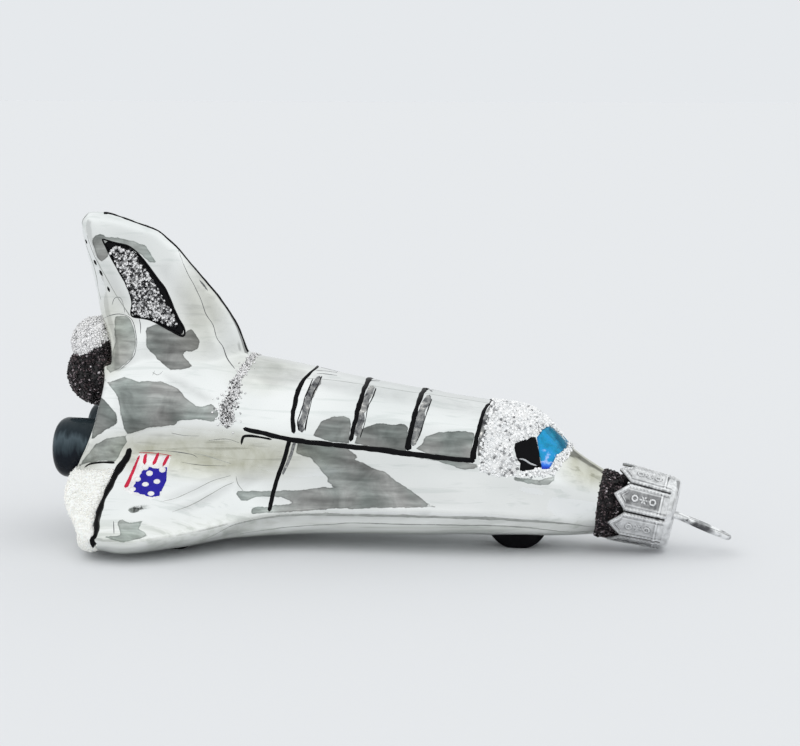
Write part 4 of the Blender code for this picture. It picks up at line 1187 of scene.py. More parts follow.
@cache
def paint(name):
    """Enamel with brush streaks: its tone and gloss vary a little along the stroke."""
    color, roughness, more = PAINTS[name]
    material, tree = new_material(name, **more)
    streaks = object_noise(tree, 420, 3, 0.6, 0.8)
    plug(tree, Base_Color=ramp(tree, streaks, [(0.3, tuple(0.72 * c for c in color)), (0.7, color)]),
         Roughness=map_range(tree, object_noise(tree, 800, 2), roughness - 0.06, roughness + 0.1))
    bumps(tree, (object_noise(tree, 1500, 3), 0.4, 0.03))
    return material


@cache
def grain(name):
    """Finish of small pieces, each with its own tone from 0 to 1 over a colour ramp."""
    stops, roughness, more = GRAINS[name]
    material, tree = new_material(name, **more)
    plug(tree, Base_Color=ramp(tree, attribute(tree, "tone"), stops),
         Roughness=map_range(tree, object_noise(tree, 900, 2), *roughness))
    return material


def lacquer_material():
    """Navy lacquer, near black, with lighter bands painted across the bells' height as highlights and
    reflections:
    a broad one on the upper side and thin ones at the top and bottom, broken into streaks.
    """
    material, tree = new_material("navy_paint", Specular_IOR_Level=0.12, Coat_Weight=0.06,
                                  Coat_Roughness=0.08)
    height = axes_of(tree, object_place(tree))[2]
    share = calc(tree, "MULTIPLY", calc(tree, "SUBTRACT", height, LACQUER_FOOT), 100.0)
    streaks = long_noise(tree, (900, 150, 220), 0.3)
    # Noise breaks the painted highlight bands into streaks
    highlight_place = calc(tree, "ADD", share, calc(tree, "MULTIPLY_ADD", streaks, 0.5, -0.25))
    plug(tree, Base_Color=ramp(tree, highlight_place, LACQUER_AND_HIGHLIGHT_STOPS),
         Roughness=map_range(tree, object_noise(tree, 800, 2), 0.16, 0.3))
    bumps(tree, (streaks, 0.3, 0.05))
    return material


def windshield_material():
    """Blue foil under clear lacquer, violet low down with a pale streak painted across its lower part as a
    highlight, dark at its rear edge.
    """
    material, tree = new_material("blue_window", Metallic=0.7, Roughness=0.16, Coat_Weight=0.35,
                                  Coat_Roughness=0.06)
    x, _, z = axes_of(tree, object_place(tree))
    height = map_range(tree, z, 0.0, 1.0, *BLUE_HEIGHTS)
    blend = calc(tree, "MULTIPLY_ADD", height, object_noise(tree, 300, 3), object_noise(tree, 420, 3))
    across = map_range(tree, x, 0.0, 1.0, *BLUE_STATIONS)
    edge = ramp(tree, across, BLUE_EDGE_STOPS)
    plug(tree, Base_Color=multiplied(tree, ramp(tree, blend, BLUE_AND_HIGHLIGHT_STOPS), edge))
    bumps(tree, (object_noise(tree, 500, 3), 0.4, 0.05))
    return material


def line_reflection_material():
    """Reflections of the bay's black lines in the silver lining, painted beside them: silvery with dark
    streaks.
    """
    material, tree = new_material("painted_line_reflections", Metallic=0.75)
    plug(tree, Base_Color=ramp(tree, object_noise(tree, 900, 4, 0.6, 0.4), LINE_REFLECTION_STOPS),
         Roughness=map_range(tree, object_noise(tree, 400, 2), 0.1, 0.3))
    return material


def foil_material():
    """Stamped foil whose tone paints light and shade: bright where its tone is 1, as painted highlights on
    the raised pattern, dark in the ground of its pattern and in hollows where it is 0, as painted shade.
    """
    material, tree = new_material("stamped_silver", Metallic=1.0)
    metal = ramp(tree, object_noise(tree, 420, 3, 0.6, 0.6), FOIL_STOPS)
    # Painted patches of darker reflection over the foil
    darker_reflection_patches = calc(tree, "MULTIPLY_ADD", object_noise(tree, 900, 4, 0.6, 0.5), 1.1, -0.5)
    tone = calc(tree, "ADD", attribute(tree, "tone"), darker_reflection_patches, clamp=True)
    plug(tree, Base_Color=mix(tree, tone, mix(tree, 0.92, metal, FOIL_PAINTED_SHADE), metal),
         Roughness=map_range(tree, object_noise(tree, 700, 3), 0.1, 0.24))
    bumps(tree, (object_noise(tree, 1600, 3), 0.35, 0.03))
    return material


def wire_material():
    material, tree = new_material("steel_wire", Metallic=1.0)
    plug(tree, Base_Color=ramp(tree, object_noise(tree, 300, 3), WIRE_STOPS),
         Roughness=map_range(tree, object_noise(tree, 900, 2), 0.1, 0.25))
    bumps(tree, (object_noise(tree, 2500, 2), 0.3, 0.01))
    return material


# Coats and small pieces

def film_mesh(surface, name, chosen, thickness, roughness, pitch):
    """A closed coat over the chosen triangles, thin at its border, with a grainy top."""
    used, corners = np.unique(surface.triangles[chosen], return_inverse=True)
    corners = corners.reshape(-1, 3)
    edges = np.vstack([corners[:, [0, 1]], corners[:, [1, 2]], corners[:, [2, 0]]])
    _, index, counts = np.unique(np.sort(edges, axis=1), axis=0, return_index=True, return_counts=True)
    border = edges[index[counts == 1]]
    count = len(used)
    height = np.ones(count)
    for _ in range(FILM_EDGE_STEPS):
        height[border.ravel()] = 0.0
        total = np.bincount(corners.ravel(), height[corners].sum(1).repeat(3), count)
        height = total / np.bincount(corners.ravel(), minlength=count) / 3
    height[border.ravel()] = 0.0
    points, normals = surface.points[used], surface.normals[used]
    rough = np.array([noise.noise(Vector(point * pitch)) for point in points])
    lift = height * (thickness + roughness * rough)
    top = points + normals * (lift - EDGE_DIP)[:, None]
    low = points - normals * STROKE_SINK
    faces = [np.vstack([corners, corners[:, ::-1] + count]), wall_quads(*border.T, count)]
    return turn_outwards(array_mesh(name, np.vstack([top, low]), faces))


def flake_template():
    """A thin six-sided crystal of radius 1."""
    turn = np.arange(6) * math.pi / 3
    rim = np.stack([np.cos(turn), np.sin(turn), np.zeros(6)], -1)
    points = np.vstack([rim, [(0, 0, FLAKE_HEIGHT), (0, 0, -FLAKE_HEIGHT)]])
    k = np.arange(6)
    after = (k + 1) % 6
    top, low = (np.stack([*pair, np.full(6, tip)], -1) for pair, tip in (((k, after), 6), ((after, k), 7)))
    return points, np.vstack([top, low])


def ball_template(subdivisions):
    """A round bead of radius 1."""
    work = bmesh.new()
    bmesh.ops.create_icosphere(work, subdivisions=subdivisions, radius=1.0)
    points = np.array([vert.co[:] for vert in work.verts])
    faces = np.array([[vert.index for vert in face.verts] for face in work.faces])
    work.free()
    return points, faces


def strewn_piece(name, template, spots, normals, material, slot, rng, *nodes, smooth=False):
    """Copies of a template strewn on spots, each with its own size, tilt and tone."""
    radius, least, most, tilt, lift = STREWN[name]
    shape, faces = template
    count = len(spots)
    sizes = radius * rng.uniform(least, most, count)
    up = unit(normals + tilt * rng.normal(size=(count, 3)))
    side = unit(np.cross(up, rng.normal(size=(count, 3))))
    other = np.cross(up, side)
    x, y, z = (shape[None, :, k, None] * sizes[:, None, None] for k in range(3))
    points = (x * side[:, None] + y * other[:, None] + z * up[:, None]
              + (spots + (lift * sizes)[:, None] * normals)[:, None])
    shift = np.arange(count)[:, None, None] * len(shape)
    mesh = array_mesh(name, points.reshape(-1, 3), [(faces[None] + shift).reshape(-1, faces.shape[1])])
    paint_points(mesh, "tone", np.repeat(rng.random(count), len(shape)))
    return add_piece(name, mesh, material, slot, *nodes, smooth=smooth)


# Painted strokes and patches

def smooth_path(points, step):
    """Points every step along a smooth curve through the given ones."""
    points = np.asarray(points, float)
    padded = np.vstack([2 * points[0] - points[1], points, 2 * points[-1] - points[-2]])
    dense = []
    for p0, p1, p2, p3 in zip(padded, padded[1:], padded[2:], padded[3:]):
        t = np.linspace(0, 1, 24, endpoint=False)[:, None]
        dense.append(0.5 * (2 * p1 + (p2 - p0) * t + (2 * p0 - 5 * p1 + 4 * p2 - p3) * t ** 2
                            + (3 * p1 - p0 - 3 * p2 + p3) * t ** 3))
    dense = np.vstack(dense + [points[-1:]])
    run = np.concatenate([[0], np.cumsum(np.linalg.norm(np.diff(dense, axis=0), axis=1))])
    stations = np.linspace(0, run[-1], max(int(run[-1] / step), 4))
    return np.stack([np.interp(stations, run, dense[:, k]) for k in range(3)], -1)


def unevenness(count, wave, rng):
    """A smooth random line, about -1 to 1, that changes over wave stations."""
    knots = rng.uniform(-1, 1, count // wave + 4)
    return np.interp(np.arange(count) / wave, np.arange(len(knots)), knots)


def stroke(surface, route, widths, look, rng):
    """A raised brush stroke on the surface: points and faces of a closed strip.

    The route is points in millimetres, widths are spread evenly along it, and look is rise and unevenness.
    """
    rise, rough = look
    path = smooth_path(route, STROKE_STEP)
    count = len(path)
    half = np.interp(np.linspace(0, 1, count), np.linspace(0, 1, len(widths)), widths) / 2
    run = np.minimum(np.arange(count), np.arange(count)[::-1]) * STROKE_STEP
    half = half * np.sqrt(np.clip(1 - (1 - np.clip(run / np.maximum(half, TINY), 0, 1)) ** 2, 0.02, 1))
    long, short = SIDE_WAVES
    left, right = (half * (1 + rough * (unevenness(count, long, rng) + 0.5 * unevenness(count, short, rng)))
                   for _ in range(2))
    height = rise * (1 + RISE_SHARE * unevenness(count, RISE_WAVE, rng))
    tangent = unit(np.gradient(path, axis=0))
    rings = []
    for k in range(count):
        place, normal = surface.nearest(path[k])
        across = unit(np.cross(normal, tangent[k]))
        top, low = [], []
        for share in STROKE_SHARES:
            spot, out = surface.nearest(place + across * (share * (left[k] if share < 0 else right[k])))
            dome = height[k] * math.sqrt(max(1 - share * share, 0.0))
            top.append(spot + out * (dome - EDGE_DIP * abs(share)))
            low.append(spot - out * STROKE_SINK)
        rings.append(top + low[-2:0:-1])
    size = len(rings[0])
    return np.array(rings).reshape(-1, 3), [ring_quads(count, size), ring_ends(count, size)]


def seen_strokes(surface, rows, look, rng):
    """Strokes along pixels of the photograph; rows are (pixels, widths)."""
    return [stroke(surface, seen_route(surface, pixels), widths, look, rng) for pixels, widths in rows]


def even_border(outline, spacing):
    """The outline with points about every spacing."""
    rows = []
    for start, end in zip(outline, np.roll(outline, -1, axis=0)):
        count = max(int(np.linalg.norm(end - start) / spacing), 1)
        rows.append(start + (end - start) * np.arange(count)[:, None] / count)
    return np.vstack(rows)


def seen_patch(surface, outline, rise, spacing=2.0):
    """A thin raised patch of paint, outlined in pixels of the photograph and closed underneath."""
    border = even_border(np.asarray(outline, float), spacing)
    low, high = border.min(0), border.max(0)
    columns, rows = (np.arange(start, end, spacing) for start, end in zip(low, high))
    grid = np.array([(x, y) for x in columns for y in rows])
    grid = grid[inside(border, grid)]
    gaps = np.min(np.linalg.norm(grid[:, None] - border[None], axis=2), axis=1)
    flat = np.vstack([border, grid[gaps > 0.6 * spacing]])
    edges = [(k, (k + 1) % len(border)) for k in range(len(border))]
    places, _, faces, _, _, _ = delaunay_2d_cdt([Vector(p) for p in flat], edges, [], 1, TINY)
    points, normals = (np.array(spots) for spots in zip(*[surface.seen_at(place) for place in places]))
    gap = np.min(np.linalg.norm(points[:, None] - points[None, :len(border)], axis=2), axis=1)
    height = rise * np.sqrt(np.clip(gap / PATCH_EDGE, 0, 1)) - EDGE_DIP
    top = points + normals * height[:, None]
    triangles = np.array([face for face in faces if len(face) == 3])
    count = len(top)
    return (np.vstack([top, points - normals * STROKE_SINK]),
            [np.vstack([triangles, triangles[:, ::-1] + count]), wall_quads(*np.array(edges).T, count)])


def dot(surface, pixel, radius, rise):
    """A round drop of paint where the photograph shows the pixel."""
    centre, normal = surface.seen_at(pixel)
    side = unit(np.cross(normal, (0.0, 0.3, 1.0)))
    other = np.cross(normal, side)
    points = []
    for share in DOT_SHARES:
        for turn in np.linspace(0, 2 * math.pi, DOT_STEPS, endpoint=False):
            way = math.cos(turn) * side + math.sin(turn) * other
            spot, out = surface.nearest(centre + radius * share * way)
            sink = STROKE_SINK if share == 1.0 else 0
            points.append(spot + out * (rise * math.sqrt(1 - share * share) - sink))
    return np.array(points), [ring_quads(len(DOT_SHARES), DOT_STEPS), ring_ends(len(DOT_SHARES), DOT_STEPS)]


def painted_piece(name, parts, material, slot, *nodes, both_sides=True):
    """One piece of several strokes or patches, with their mirror images on the port side."""
    points, groups = [], [[], []]
    shift = 0
    for part_points, part_groups in parts:
        for flip in (False, True) if both_sides else (False,):
            points.append(mirrored(part_points) if flip else part_points)
            for store, faces in zip(groups, part_groups):
                store.append((faces[:, ::-1] if flip else faces) + shift)
            shift += len(part_points)
    mesh = turn_outwards(array_mesh(name, np.vstack(points), [np.vstack(faces) for faces in groups]))
    return add_piece(name, mesh, material, slot, *nodes)


# Pieces

def add_glass():
    mesh = glass_mesh()
    add_piece("silvered_glass_body", mesh, glass_material(), "silvered_glass", "glass_body")
    surface = Surface(mesh)
    # Painted light held on the points: warm reflections, the underside's shade, grey reflection patches,
    # soft shade
    underside_shade = np.interp(surface.points[:, 2], UNDERSIDE_SHADE_HEIGHTS, UNDERSIDE_SHADE_LEVELS)
    layers = (warm_reflection_of(surface.points), underside_shade, *shades_of(surface))
    for name, values in zip(("warm_reflection_strength", "underside_shade", "depth", "share", "soft_shade"), layers):
        paint_points(mesh, name, values)
    return surface


def at(place, turn):
    return Matrix.Translation(Vector(place) * MM) @ turn


def add_bells():
    material = lacquer_material()
    for name, x, y, z, radius, rim, length in BELLS:
        rows = [(0.3, 0.7), (0.4 * radius, 0.55), (radius - rim - 0.3, 0.1)]
        rows += [(radius - rim + rim * math.sin(t), rim - rim * math.cos(t))
                 for t in np.linspace(0, math.pi / 2, 10)]
        rows.append((radius * BELL_TAPER, length))
        mesh = turned_mesh(name, rows, 96, at((x, y, z), Matrix.Rotation(math.pi / 2, 4, "Y")))
        add_piece(name + "_paint", mesh, material, "navy_paint", name)


def dome_tones(places, tones):
    """Tones of the tail dome by their places: silver above its border and black below."""
    border = np.array(DOME_BORDER)
    spots = to_pixels(np.stack([places[:, 0], -np.abs(places[:, 1]), places[:, 2]], -1))
    low = spots[:, 1] > np.interp(spots[:, 0], border[:, 0], border[:, 1])
    return np.where(low, 0.48 * tones, 0.5 + 0.5 * tones)


def add_glitter_ball(surface, rng, name, centre, radii, density, material, ground, slot, tones=None):
    """A ball under a coat of flakes, without those inside the glass; tones turns tones by their places."""
    shape, faces = ball_template(4)
    height, waves = BALL_GRAIN
    swell = 1 + height * np.array([noise.noise(Vector(point * waves)) for point in shape])
    points = np.array(centre) + shape * np.array(radii) * swell[:, None] * BALL_SHELL
    mesh = array_mesh(name + "_base", points, [faces])
    add_piece(name + "_base", mesh, ground, slot, name)
    away = unit(rng.normal(size=(int(4 * math.pi * np.mean(radii) ** 2 * density), 3)))
    spots = np.array(centre) + away * np.array(radii) * FLAKE_SHELL
    found = [surface.nearest(spot) for spot in spots]
    clear = np.array([(spot - place) @ normal > -FLAKE_DEPTH for spot, (place, normal) in zip(spots, found)])
    spots, away = spots[clear], unit(away[clear] / np.array(radii))
    template = flake_template()
    flakes = strewn_piece(name + "_flakes", template, spots, away, material, slot, rng)
    if tones:
        paint_points(mesh, "tone", tones(points, 0.5))
        paint_points(flakes.data, "tone", np.repeat(tones(spots, rng.random(len(spots))), len(template[0])))


def add_wheels():
    half = WHEEL_WIDTH / 2
    rows = [(0.3, -half)]
    for t in np.linspace(0, math.pi / 2, 6):
        rows.append((WHEEL_RADIUS - WHEEL_BEVEL + WHEEL_BEVEL * math.sin(t),
                     -half + WHEEL_BEVEL - WHEEL_BEVEL * math.cos(t)))
    rows += [(r, -h) for r, h in rows[::-1]]
    for name, x, y in WHEELS:
        mesh = turned_mesh(name, rows, 120, at((x, y, WHEEL_HEIGHT), Matrix.Rotation(math.pi / 2, 4, "X")))
        set_points(mesh, np.maximum(points_of(mesh), (-np.inf, -np.inf, 0.0)))
        add_piece(name + "_paint", mesh, paint("black_paint"), "black_paint", name)


def add_neck():
    floor, lip = NECK_LENGTH - BORE_DEPTH, NECK_RADIUS - 0.1
    rows = [(0.3, floor), (BORE_RADIUS, floor), (BORE_RADIUS, NECK_LENGTH), (lip - LIP_EDGE, NECK_LENGTH),
            (lip, NECK_LENGTH - LIP_EDGE), (NECK_RADIUS, 0.5), (NECK_RADIUS, -0.8), (0.3, -0.8)]
    mesh = turned_mesh("drawn_neck", rows, 96, axis_matrix(NECK_ROOT, NECK_PITCH))
    paint_points(mesh, "depth", -SHADE_REACH)
    add_piece("drawn_neck", mesh, glass_material(), "silvered_glass", "glass_neck")


def add_neck_ring(rng):
    """The glitter ring between the glass and the cap."""
    mesh = turned_mesh("neck_ring_base", NECK_RING, 96, axis_matrix(NECK_ROOT, NECK_PITCH))
    add_piece("neck_ring_base", mesh, paint("black_glue"), "black_glitter", "neck_glitter")
    along = rng.uniform(*RING_FLAKE_REACH, RING_FLAKES)
    turn = rng.uniform(0, 2 * math.pi, RING_FLAKES)
    radius = np.interp(along, *np.array(RING_FLAKE_LINE).T)
    spots = np.array([neck_point(a, r * math.sin(t), -r * math.cos(t))
                      for a, r, t in zip(along, radius, turn)])
    axis = np.array([neck_point(a, 0, 0) for a in along])
    strewn_piece("neck_ring_flakes", flake_template(), spots, unit(spots - axis), grain("black_flakes"),
                 "black_glitter", rng)


def add_fin_panels(surface, rng):
    ground, base = (seen_patch(surface, outline, rise, PANEL_SPACING)
                    for outline, rise in zip((PANEL_OUTLINE, PANEL_FLAKES), PANEL_RISES))
    painted_piece("fin_panel_ground", [ground], paint("black_paint"), "black_paint")
    painted_piece("fin_panel_base", [base], paint("glitter_glue"), "silver_glitter", "fin_panel_right",
                  "fin_panel_left")
    spots, normals = surface.scatter(area_in_view(surface, PANEL_FLAKES), PANEL_FLAKE_COUNT, rng)
    strewn_piece("fin_panel_flakes", flake_template(), spots, normals, grain("silver_flakes"),
                 "silver_glitter", rng)
    border = seen_strokes(surface, [(PANEL_OUTLINE + PANEL_OUTLINE[:1], PANEL_WIDTHS)], PANEL_LOOK, rng)
    painted_piece("fin_panel_outline", border, paint("black_paint"), "black_paint")


def add_shoulder_glitter(surface, rng):
    """A loose trail of flakes down the shoulder, thick and darker at its lower end."""
    trail = smooth_path(seen_route(surface, SHOULDER_TRAIL), TRAIL_STEP)
    share = rng.beta(*TRAIL_CROWDING, TRAIL_FLAKES)
    spine = trail[(share * (len(trail) - 1)).astype(int)]
    spread = np.interp(share, *np.array(TRAIL_SPREAD).T)
    spread = spread * np.where(rng.random(TRAIL_FLAKES) < STRAYS, STRAY_SPREAD, CLOSE_SPREAD)
    away = rng.normal(size=(TRAIL_FLAKES, 3)) * spread[:, None]
    spots, normals = (np.array(rows) for rows in zip(*[surface.nearest(spot) for spot in spine + away]))
    spots, normals = (np.vstack([rows, mirrored(rows)]) for rows in (spots, normals))
    dark = np.tile(rng.random(TRAIL_FLAKES) < np.interp(share, *np.array(TRAIL_DARKNESS).T), 2)
    strewn_piece("shoulder_flakes", flake_template(), spots[dark], normals[dark], grain("silver_flakes"),
                 "silver_glitter", rng, "shoulder_glitter")
    strewn_piece("shoulder_sparks", flake_template(), spots[~dark], normals[~dark], grain("bright_flakes"),
                 "silver_glitter", rng)


def add_beads(surface, rng):
    """Round glass beads over the cockpit, with the windows left free."""
    chosen = area_in_view(surface, BEAD_AREA)
    for window in (SIDE_WINDOW, WINDSHIELD):
        chosen &= ~area_in_view(surface, window)
    glue = film_mesh(surface, "cockpit_glue", chosen, *GLUE_COAT)
    add_piece("cockpit_glue", glue, paint("clear_glue"), "white_beads")
    spots, normals = surface.scatter(chosen, BEAD_COUNT, rng)
    strewn_piece("cockpit_beads", ball_template(2), spots, normals, grain("white_beads"), "white_beads", rng,
                 "cockpit_glitter", smooth=True)


def add_windows(surface, rng):
    side = seen_patch(surface, SIDE_WINDOW, WINDOW_RISE)
    painted_piece("side_windows", [side], paint("black_paint"), "black_paint")
    # A pale highlight painted on the black side window
    window_highlights = seen_strokes(surface, [WINDOW_HIGHLIGHT], WINDOW_HIGHLIGHT_LOOK, rng)
    painted_piece("side_window_highlights", window_highlights, paint("pale_highlight_paint"), "black_paint")
    shield = seen_patch(surface, WINDSHIELD, WINDSHIELD_RISE)
    painted_piece("windshield", [shield], windshield_material(), "black_paint")


def add_bay_lines(surface, rng):
    hoops = []
    for pixels, widths in HOOPS:
        route = seen_route(surface, pixels)
        hoops.append(stroke(surface, np.vstack([route, mirrored(route[-2::-1])]), widths + widths[::-1],
                            HOOP_LOOK, rng))
    painted_piece("bay_hoops", hoops, paint("black_paint"), "black_paint", both_sides=False)
    # The sill's double and the hoops' reflection edges are reflections of the lines, painted black
    lines = seen_strokes(surface, [SILL, SIDE_LINE, SILL_DOUBLE], LINE_LOOK, rng)
    lines += seen_strokes(surface, HOOP_REFLECTION_EDGES, HOOP_REFLECTION_EDGE_LOOK, rng)
    painted_piece("bay_sill_lines", lines, paint("black_paint"), "black_paint")
    # Reflections of the lines, painted beside them
    doubles = seen_strokes(surface, HOOP_DOUBLES + [SIDE_DOUBLE], LINE_REFLECTION_LOOK, rng)
    painted_piece("bay_line_reflections", doubles, line_reflection_material(), "black_paint")


def add_fin_edge(surface, rng):
    black = paint("black_paint")
    edge = stroke(surface, seen_route(surface, FIN_EDGE[0], FIN_EDGE_PLANE), FIN_EDGE[1], FIN_EDGE_LOOK, rng)
    painted_piece("fin_edge_line", [edge], black, "black_paint", both_sides=False)
    dashes = seen_strokes(surface, [(pixels, FIN_DASH_WIDTHS) for pixels in FIN_DASHES], FIN_DASH_LOOK, rng)
    painted_piece("fin_dashes", dashes, black, "black_paint")


def add_reflection_lines(surface, rng):
    # Grey reflection lines painted on the glass
    for name, rows, color in (("dark_reflection_strokes", DARK_REFLECTION_LINES, "dark_reflection_paint"),
                              ("pale_reflection_strokes", PALE_REFLECTION_LINES, "pale_reflection_paint")):
        painted_piece(name, seen_strokes(surface, rows, REFLECTION_LINE_LOOK, rng), paint(color), "silvered_glass")


def add_wing_lines(surface, rng):
    lines = seen_strokes(surface, [ELEVON_LINE], ELEVON_LOOK, rng)
    lines += seen_strokes(surface, [FROST_LINE], FROST_LOOK, rng)
    painted_piece("elevon_lines", lines, paint("black_paint"), "black_paint")


def add_flag(surface, rng):
    stripes = seen_strokes(surface, FLAG_STRIPES, FLAG_LOOK, rng)
    dots = [dot(surface, pixel, FLAG_DOT_RADIUS, FLAG_DOT_RISE) for pixel in FLAG_DOTS]
    ground, canton = (seen_patch(surface, outline, rise)
                      for outline, rise in zip((FLAG_GROUND, FLAG_CANTON), FLAG_RISES))
    for name, parts, color in (("flag_ground", [ground], "white_paint"),
                               ("flag_canton", [canton], "blue_paint"),
                               ("flag_stripes", stripes, "red_paint"), ("flag_dots", dots, "white_paint")):
        painted_piece(name, parts, paint(color), "cream_frost")


def add_frost(surface, rng):
    """Sugar-like frost over the wings' trailing edges."""
    line = smooth_path(seen_route(surface, ELEVON_LINE[0]), FROST_STEP)
    breadth, station = -line[:, 1], line[:, 0]
    order = np.argsort(breadth)
    x, y, z = surface.centres.T
    limit = np.interp(np.abs(y), breadth[order], station[order])
    chosen = (x < limit - FROST_LINE_GAP) & (np.abs(y) > FROST_INNER) & (z < FROST_TOP)
    for _, _, bell_y, bell_z, radius, _, _ in BELLS:
        chosen &= np.hypot(y - bell_y, z - bell_z) > radius + FROST_BELL_GAP
    frost = grain("cream_frost")
    snow = film_mesh(surface, "wing_frost", chosen, *FROST_COAT)
    paint_points(snow, "tone", FROST_TONE)
    add_piece("wing_frost", snow, frost, "cream_frost", "elevon_frost_right", "elevon_frost_left")
    coat = Surface(snow)
    spots, normals = coat.scatter(np.arange(len(coat.triangles)) < chosen.sum(), FROST_GRAINS, rng)
    strewn_piece("wing_frost_grains", ball_template(1), spots, normals, frost, "cream_frost", rng)


def ridge(away, crest, width, height):
    """Height of a soft ridge over a distance, in mm."""
    return height * np.exp(-((away - crest) / width) ** 2)


def tab_relief(across, along):
    """Height of the stamped pattern on a tab, and the distance to its edge.

    across is measured from the tab's middle and along from its tip.
    """
    width = np.minimum(along / TAB_POINT, 1.0) * TAB_HALF
    slant = TAB_POINT / math.hypot(TAB_POINT, TAB_HALF)
    to_edge = np.where(along < TAB_POINT, (width - np.abs(across)) * slant, TAB_HALF - np.abs(across))
    bead = 0.75 + 0.35 * np.cos(2 * math.pi * (along + 0.3 * np.abs(across)) / BEAD_PITCH)
    relief = bead * ridge(to_edge, *BORDER_RIDGE) + ridge(to_edge, *INNER_RIDGE) * (along < PATTERN_END)
    for centre in RING_PLACES:
        relief += ridge(np.hypot(across, along - centre), *RING_RIDGE)
    away, turn = np.hypot(across, along - FLOWER_PLACE), np.arctan2(across, along - FLOWER_PLACE)
    relief += ridge(away, *LEAF_RIDGE) * (0.45 + 0.55 * np.cos(6 * turn)) + ridge(away, *FLOWER_DOT)
    relief += ridge(along, *FOOT_RIDGE) * (np.abs(across) < 1.9)
    return relief, to_edge


def tab_arrays(turn, shade):
    """One stamped tab, closed: its outer face with the pattern, its inner face plain.

    shade is the tone painted in the pattern's ground, darker on every other tab as painted reflection. The
    tones also paint highlights on the raised pattern, and shade at the feet of its ridges and in its
    grooves.
    """
    length = CAP_LENGTH - COLLAR_HEIGHT + 0.15
    along = np.concatenate([np.linspace(0.05, TAB_POINT, TAB_TIP_ROWS),
                            np.linspace(TAB_POINT, length, TAB_ROWS - TAB_TIP_ROWS)[1:]])
    width = np.minimum(along / TAB_POINT, 1.0) * TAB_HALF
    across = width[:, None] * np.linspace(-1, 1, TAB_COLUMNS)[None]
    along = np.repeat(along[:, None], TAB_COLUMNS, axis=1)
    flare = CAP_FLARE * np.clip(1 - along / length, 0, 1)
    relief, to_edge = tab_relief(across, along)
    steep = np.hypot(np.gradient(relief, axis=1) / np.maximum(np.gradient(across, axis=1), 0.02),
                     np.gradient(relief, axis=0) / np.gradient(along, axis=0))
    angle = turn + across / CAP_RADIUS
    sheets = []
    for radius in (CAP_RADIUS - 0.05 + flare + relief, CAP_RADIUS - CAP_WALL + flare):
        sheet = np.stack([radius * np.cos(angle), radius * np.sin(angle), CAP_END - CAP_LENGTH + along], -1)
        sheets.append(sheet.reshape(-1, 3))
    quads, border = sheet_quads(*across.shape)
    lower = across.size
    # Painted light in the tone: a lighter ground round the panel, the raised pattern brighter as painted
    # highlight, the ridges' feet and the grooves darker as painted shade
    ground = np.where((to_edge < 0.8) | (along > PATTERN_END), FRAME_SHADE, shade)
    foot = np.clip(steep - 0.3, 0, 1) * np.clip(1.2 - relief / 0.14, 0, 1)
    grooves = ridge(to_edge, *GROOVE) + ridge(to_edge, *EDGE_GROOVE)
    tones = np.clip(ground + (1 - ground) * relief / 0.12 - FOOT_DARKNESS * foot - grooves, 0, 1)
    tones = np.concatenate([tones.ravel(), np.full(lower, 0.5)])
    faces = np.vstack([quads, quads[:, ::-1] + lower, wall_quads(border, np.roll(border, -1), lower)])
    return np.vstack(sheets), faces, tones


def collar_rows():
    """Section of the cap's closed end, as (radius, height) rows all round its sheet."""
    base, dish = CAP_END - COLLAR_HEIGHT, CAP_END - CAP_DISH
    rows = [(CAP_RADIUS - CAP_WALL, base), (CAP_RADIUS - 0.05, base), (CAP_RADIUS, base + 0.15)]
    for t in np.linspace(0, math.pi / 2, 12):
        rows.append((CAP_RADIUS - CAP_CORNER + CAP_CORNER * math.cos(t),
                     CAP_END - CAP_CORNER + CAP_CORNER * math.sin(t)))
    rows += [(4.1, CAP_END), (3.9, dish), (0.3, dish), (0.3, dish - CAP_WALL), (3.7, dish - CAP_WALL)]
    return rows + [(CAP_RADIUS - 1.3, CAP_END - CAP_WALL), (CAP_RADIUS - CAP_WALL, CAP_END - 1.3)]


def add_cap():
    material = foil_material()
    place = axis_matrix(CAP_ROOT, CAP_PITCH)
    points, quads, tones = [], [], []
    for k in range(TAB_COUNT):
        turn = TAB_TURN + 2 * math.pi * k / TAB_COUNT
        # Every other tab gets the darker painted ground
        tab_points, tab_quads, tab_tones = tab_arrays(turn, TAB_SHADES[k % 2])
        points.append(tab_points)
        tones.append(tab_tones)
        quads.append(tab_quads + k * len(tab_points))
    tabs = turn_outwards(array_mesh("cap_tabs", np.vstack(points), [np.vstack(quads)]))
    paint_points(tabs, "tone", np.concatenate(tones))
    tabs.transform(place)
    add_piece("cap_tabs", tabs, material, "stamped_silver", "cap", body="cap")

    mesh = turned_mesh("cap_collar", collar_rows(), 96, place, closed=True)
    paint_points(mesh, "tone", 0.8)
    collar = add_object("cap_collar", mesh)
    drills = []
    for side in (-1, 1):
        ring = [(HOLE_RADIUS * math.cos(t), side * LEG_OFFSET + HOLE_RADIUS * math.sin(t))
                for t in np.linspace(0, 2 * math.pi, 24, endpoint=False)]
        drill = loft_mesh("wire_hole", [[(x, y, CAP_END + z) for x, y in ring] for z in (-2, 2)])
        drill.transform(wire_matrix())
        drills.append(add_object("wire_hole", drill, smooth=False))
        add_boolean(collar, "DIFFERENCE", drills[-1])
    mesh = applied(collar)
    for drill in drills:
        bpy.data.objects.remove(drill, do_unlink=True)
    add_piece("cap_collar", mesh, material, "stamped_silver", body="cap")


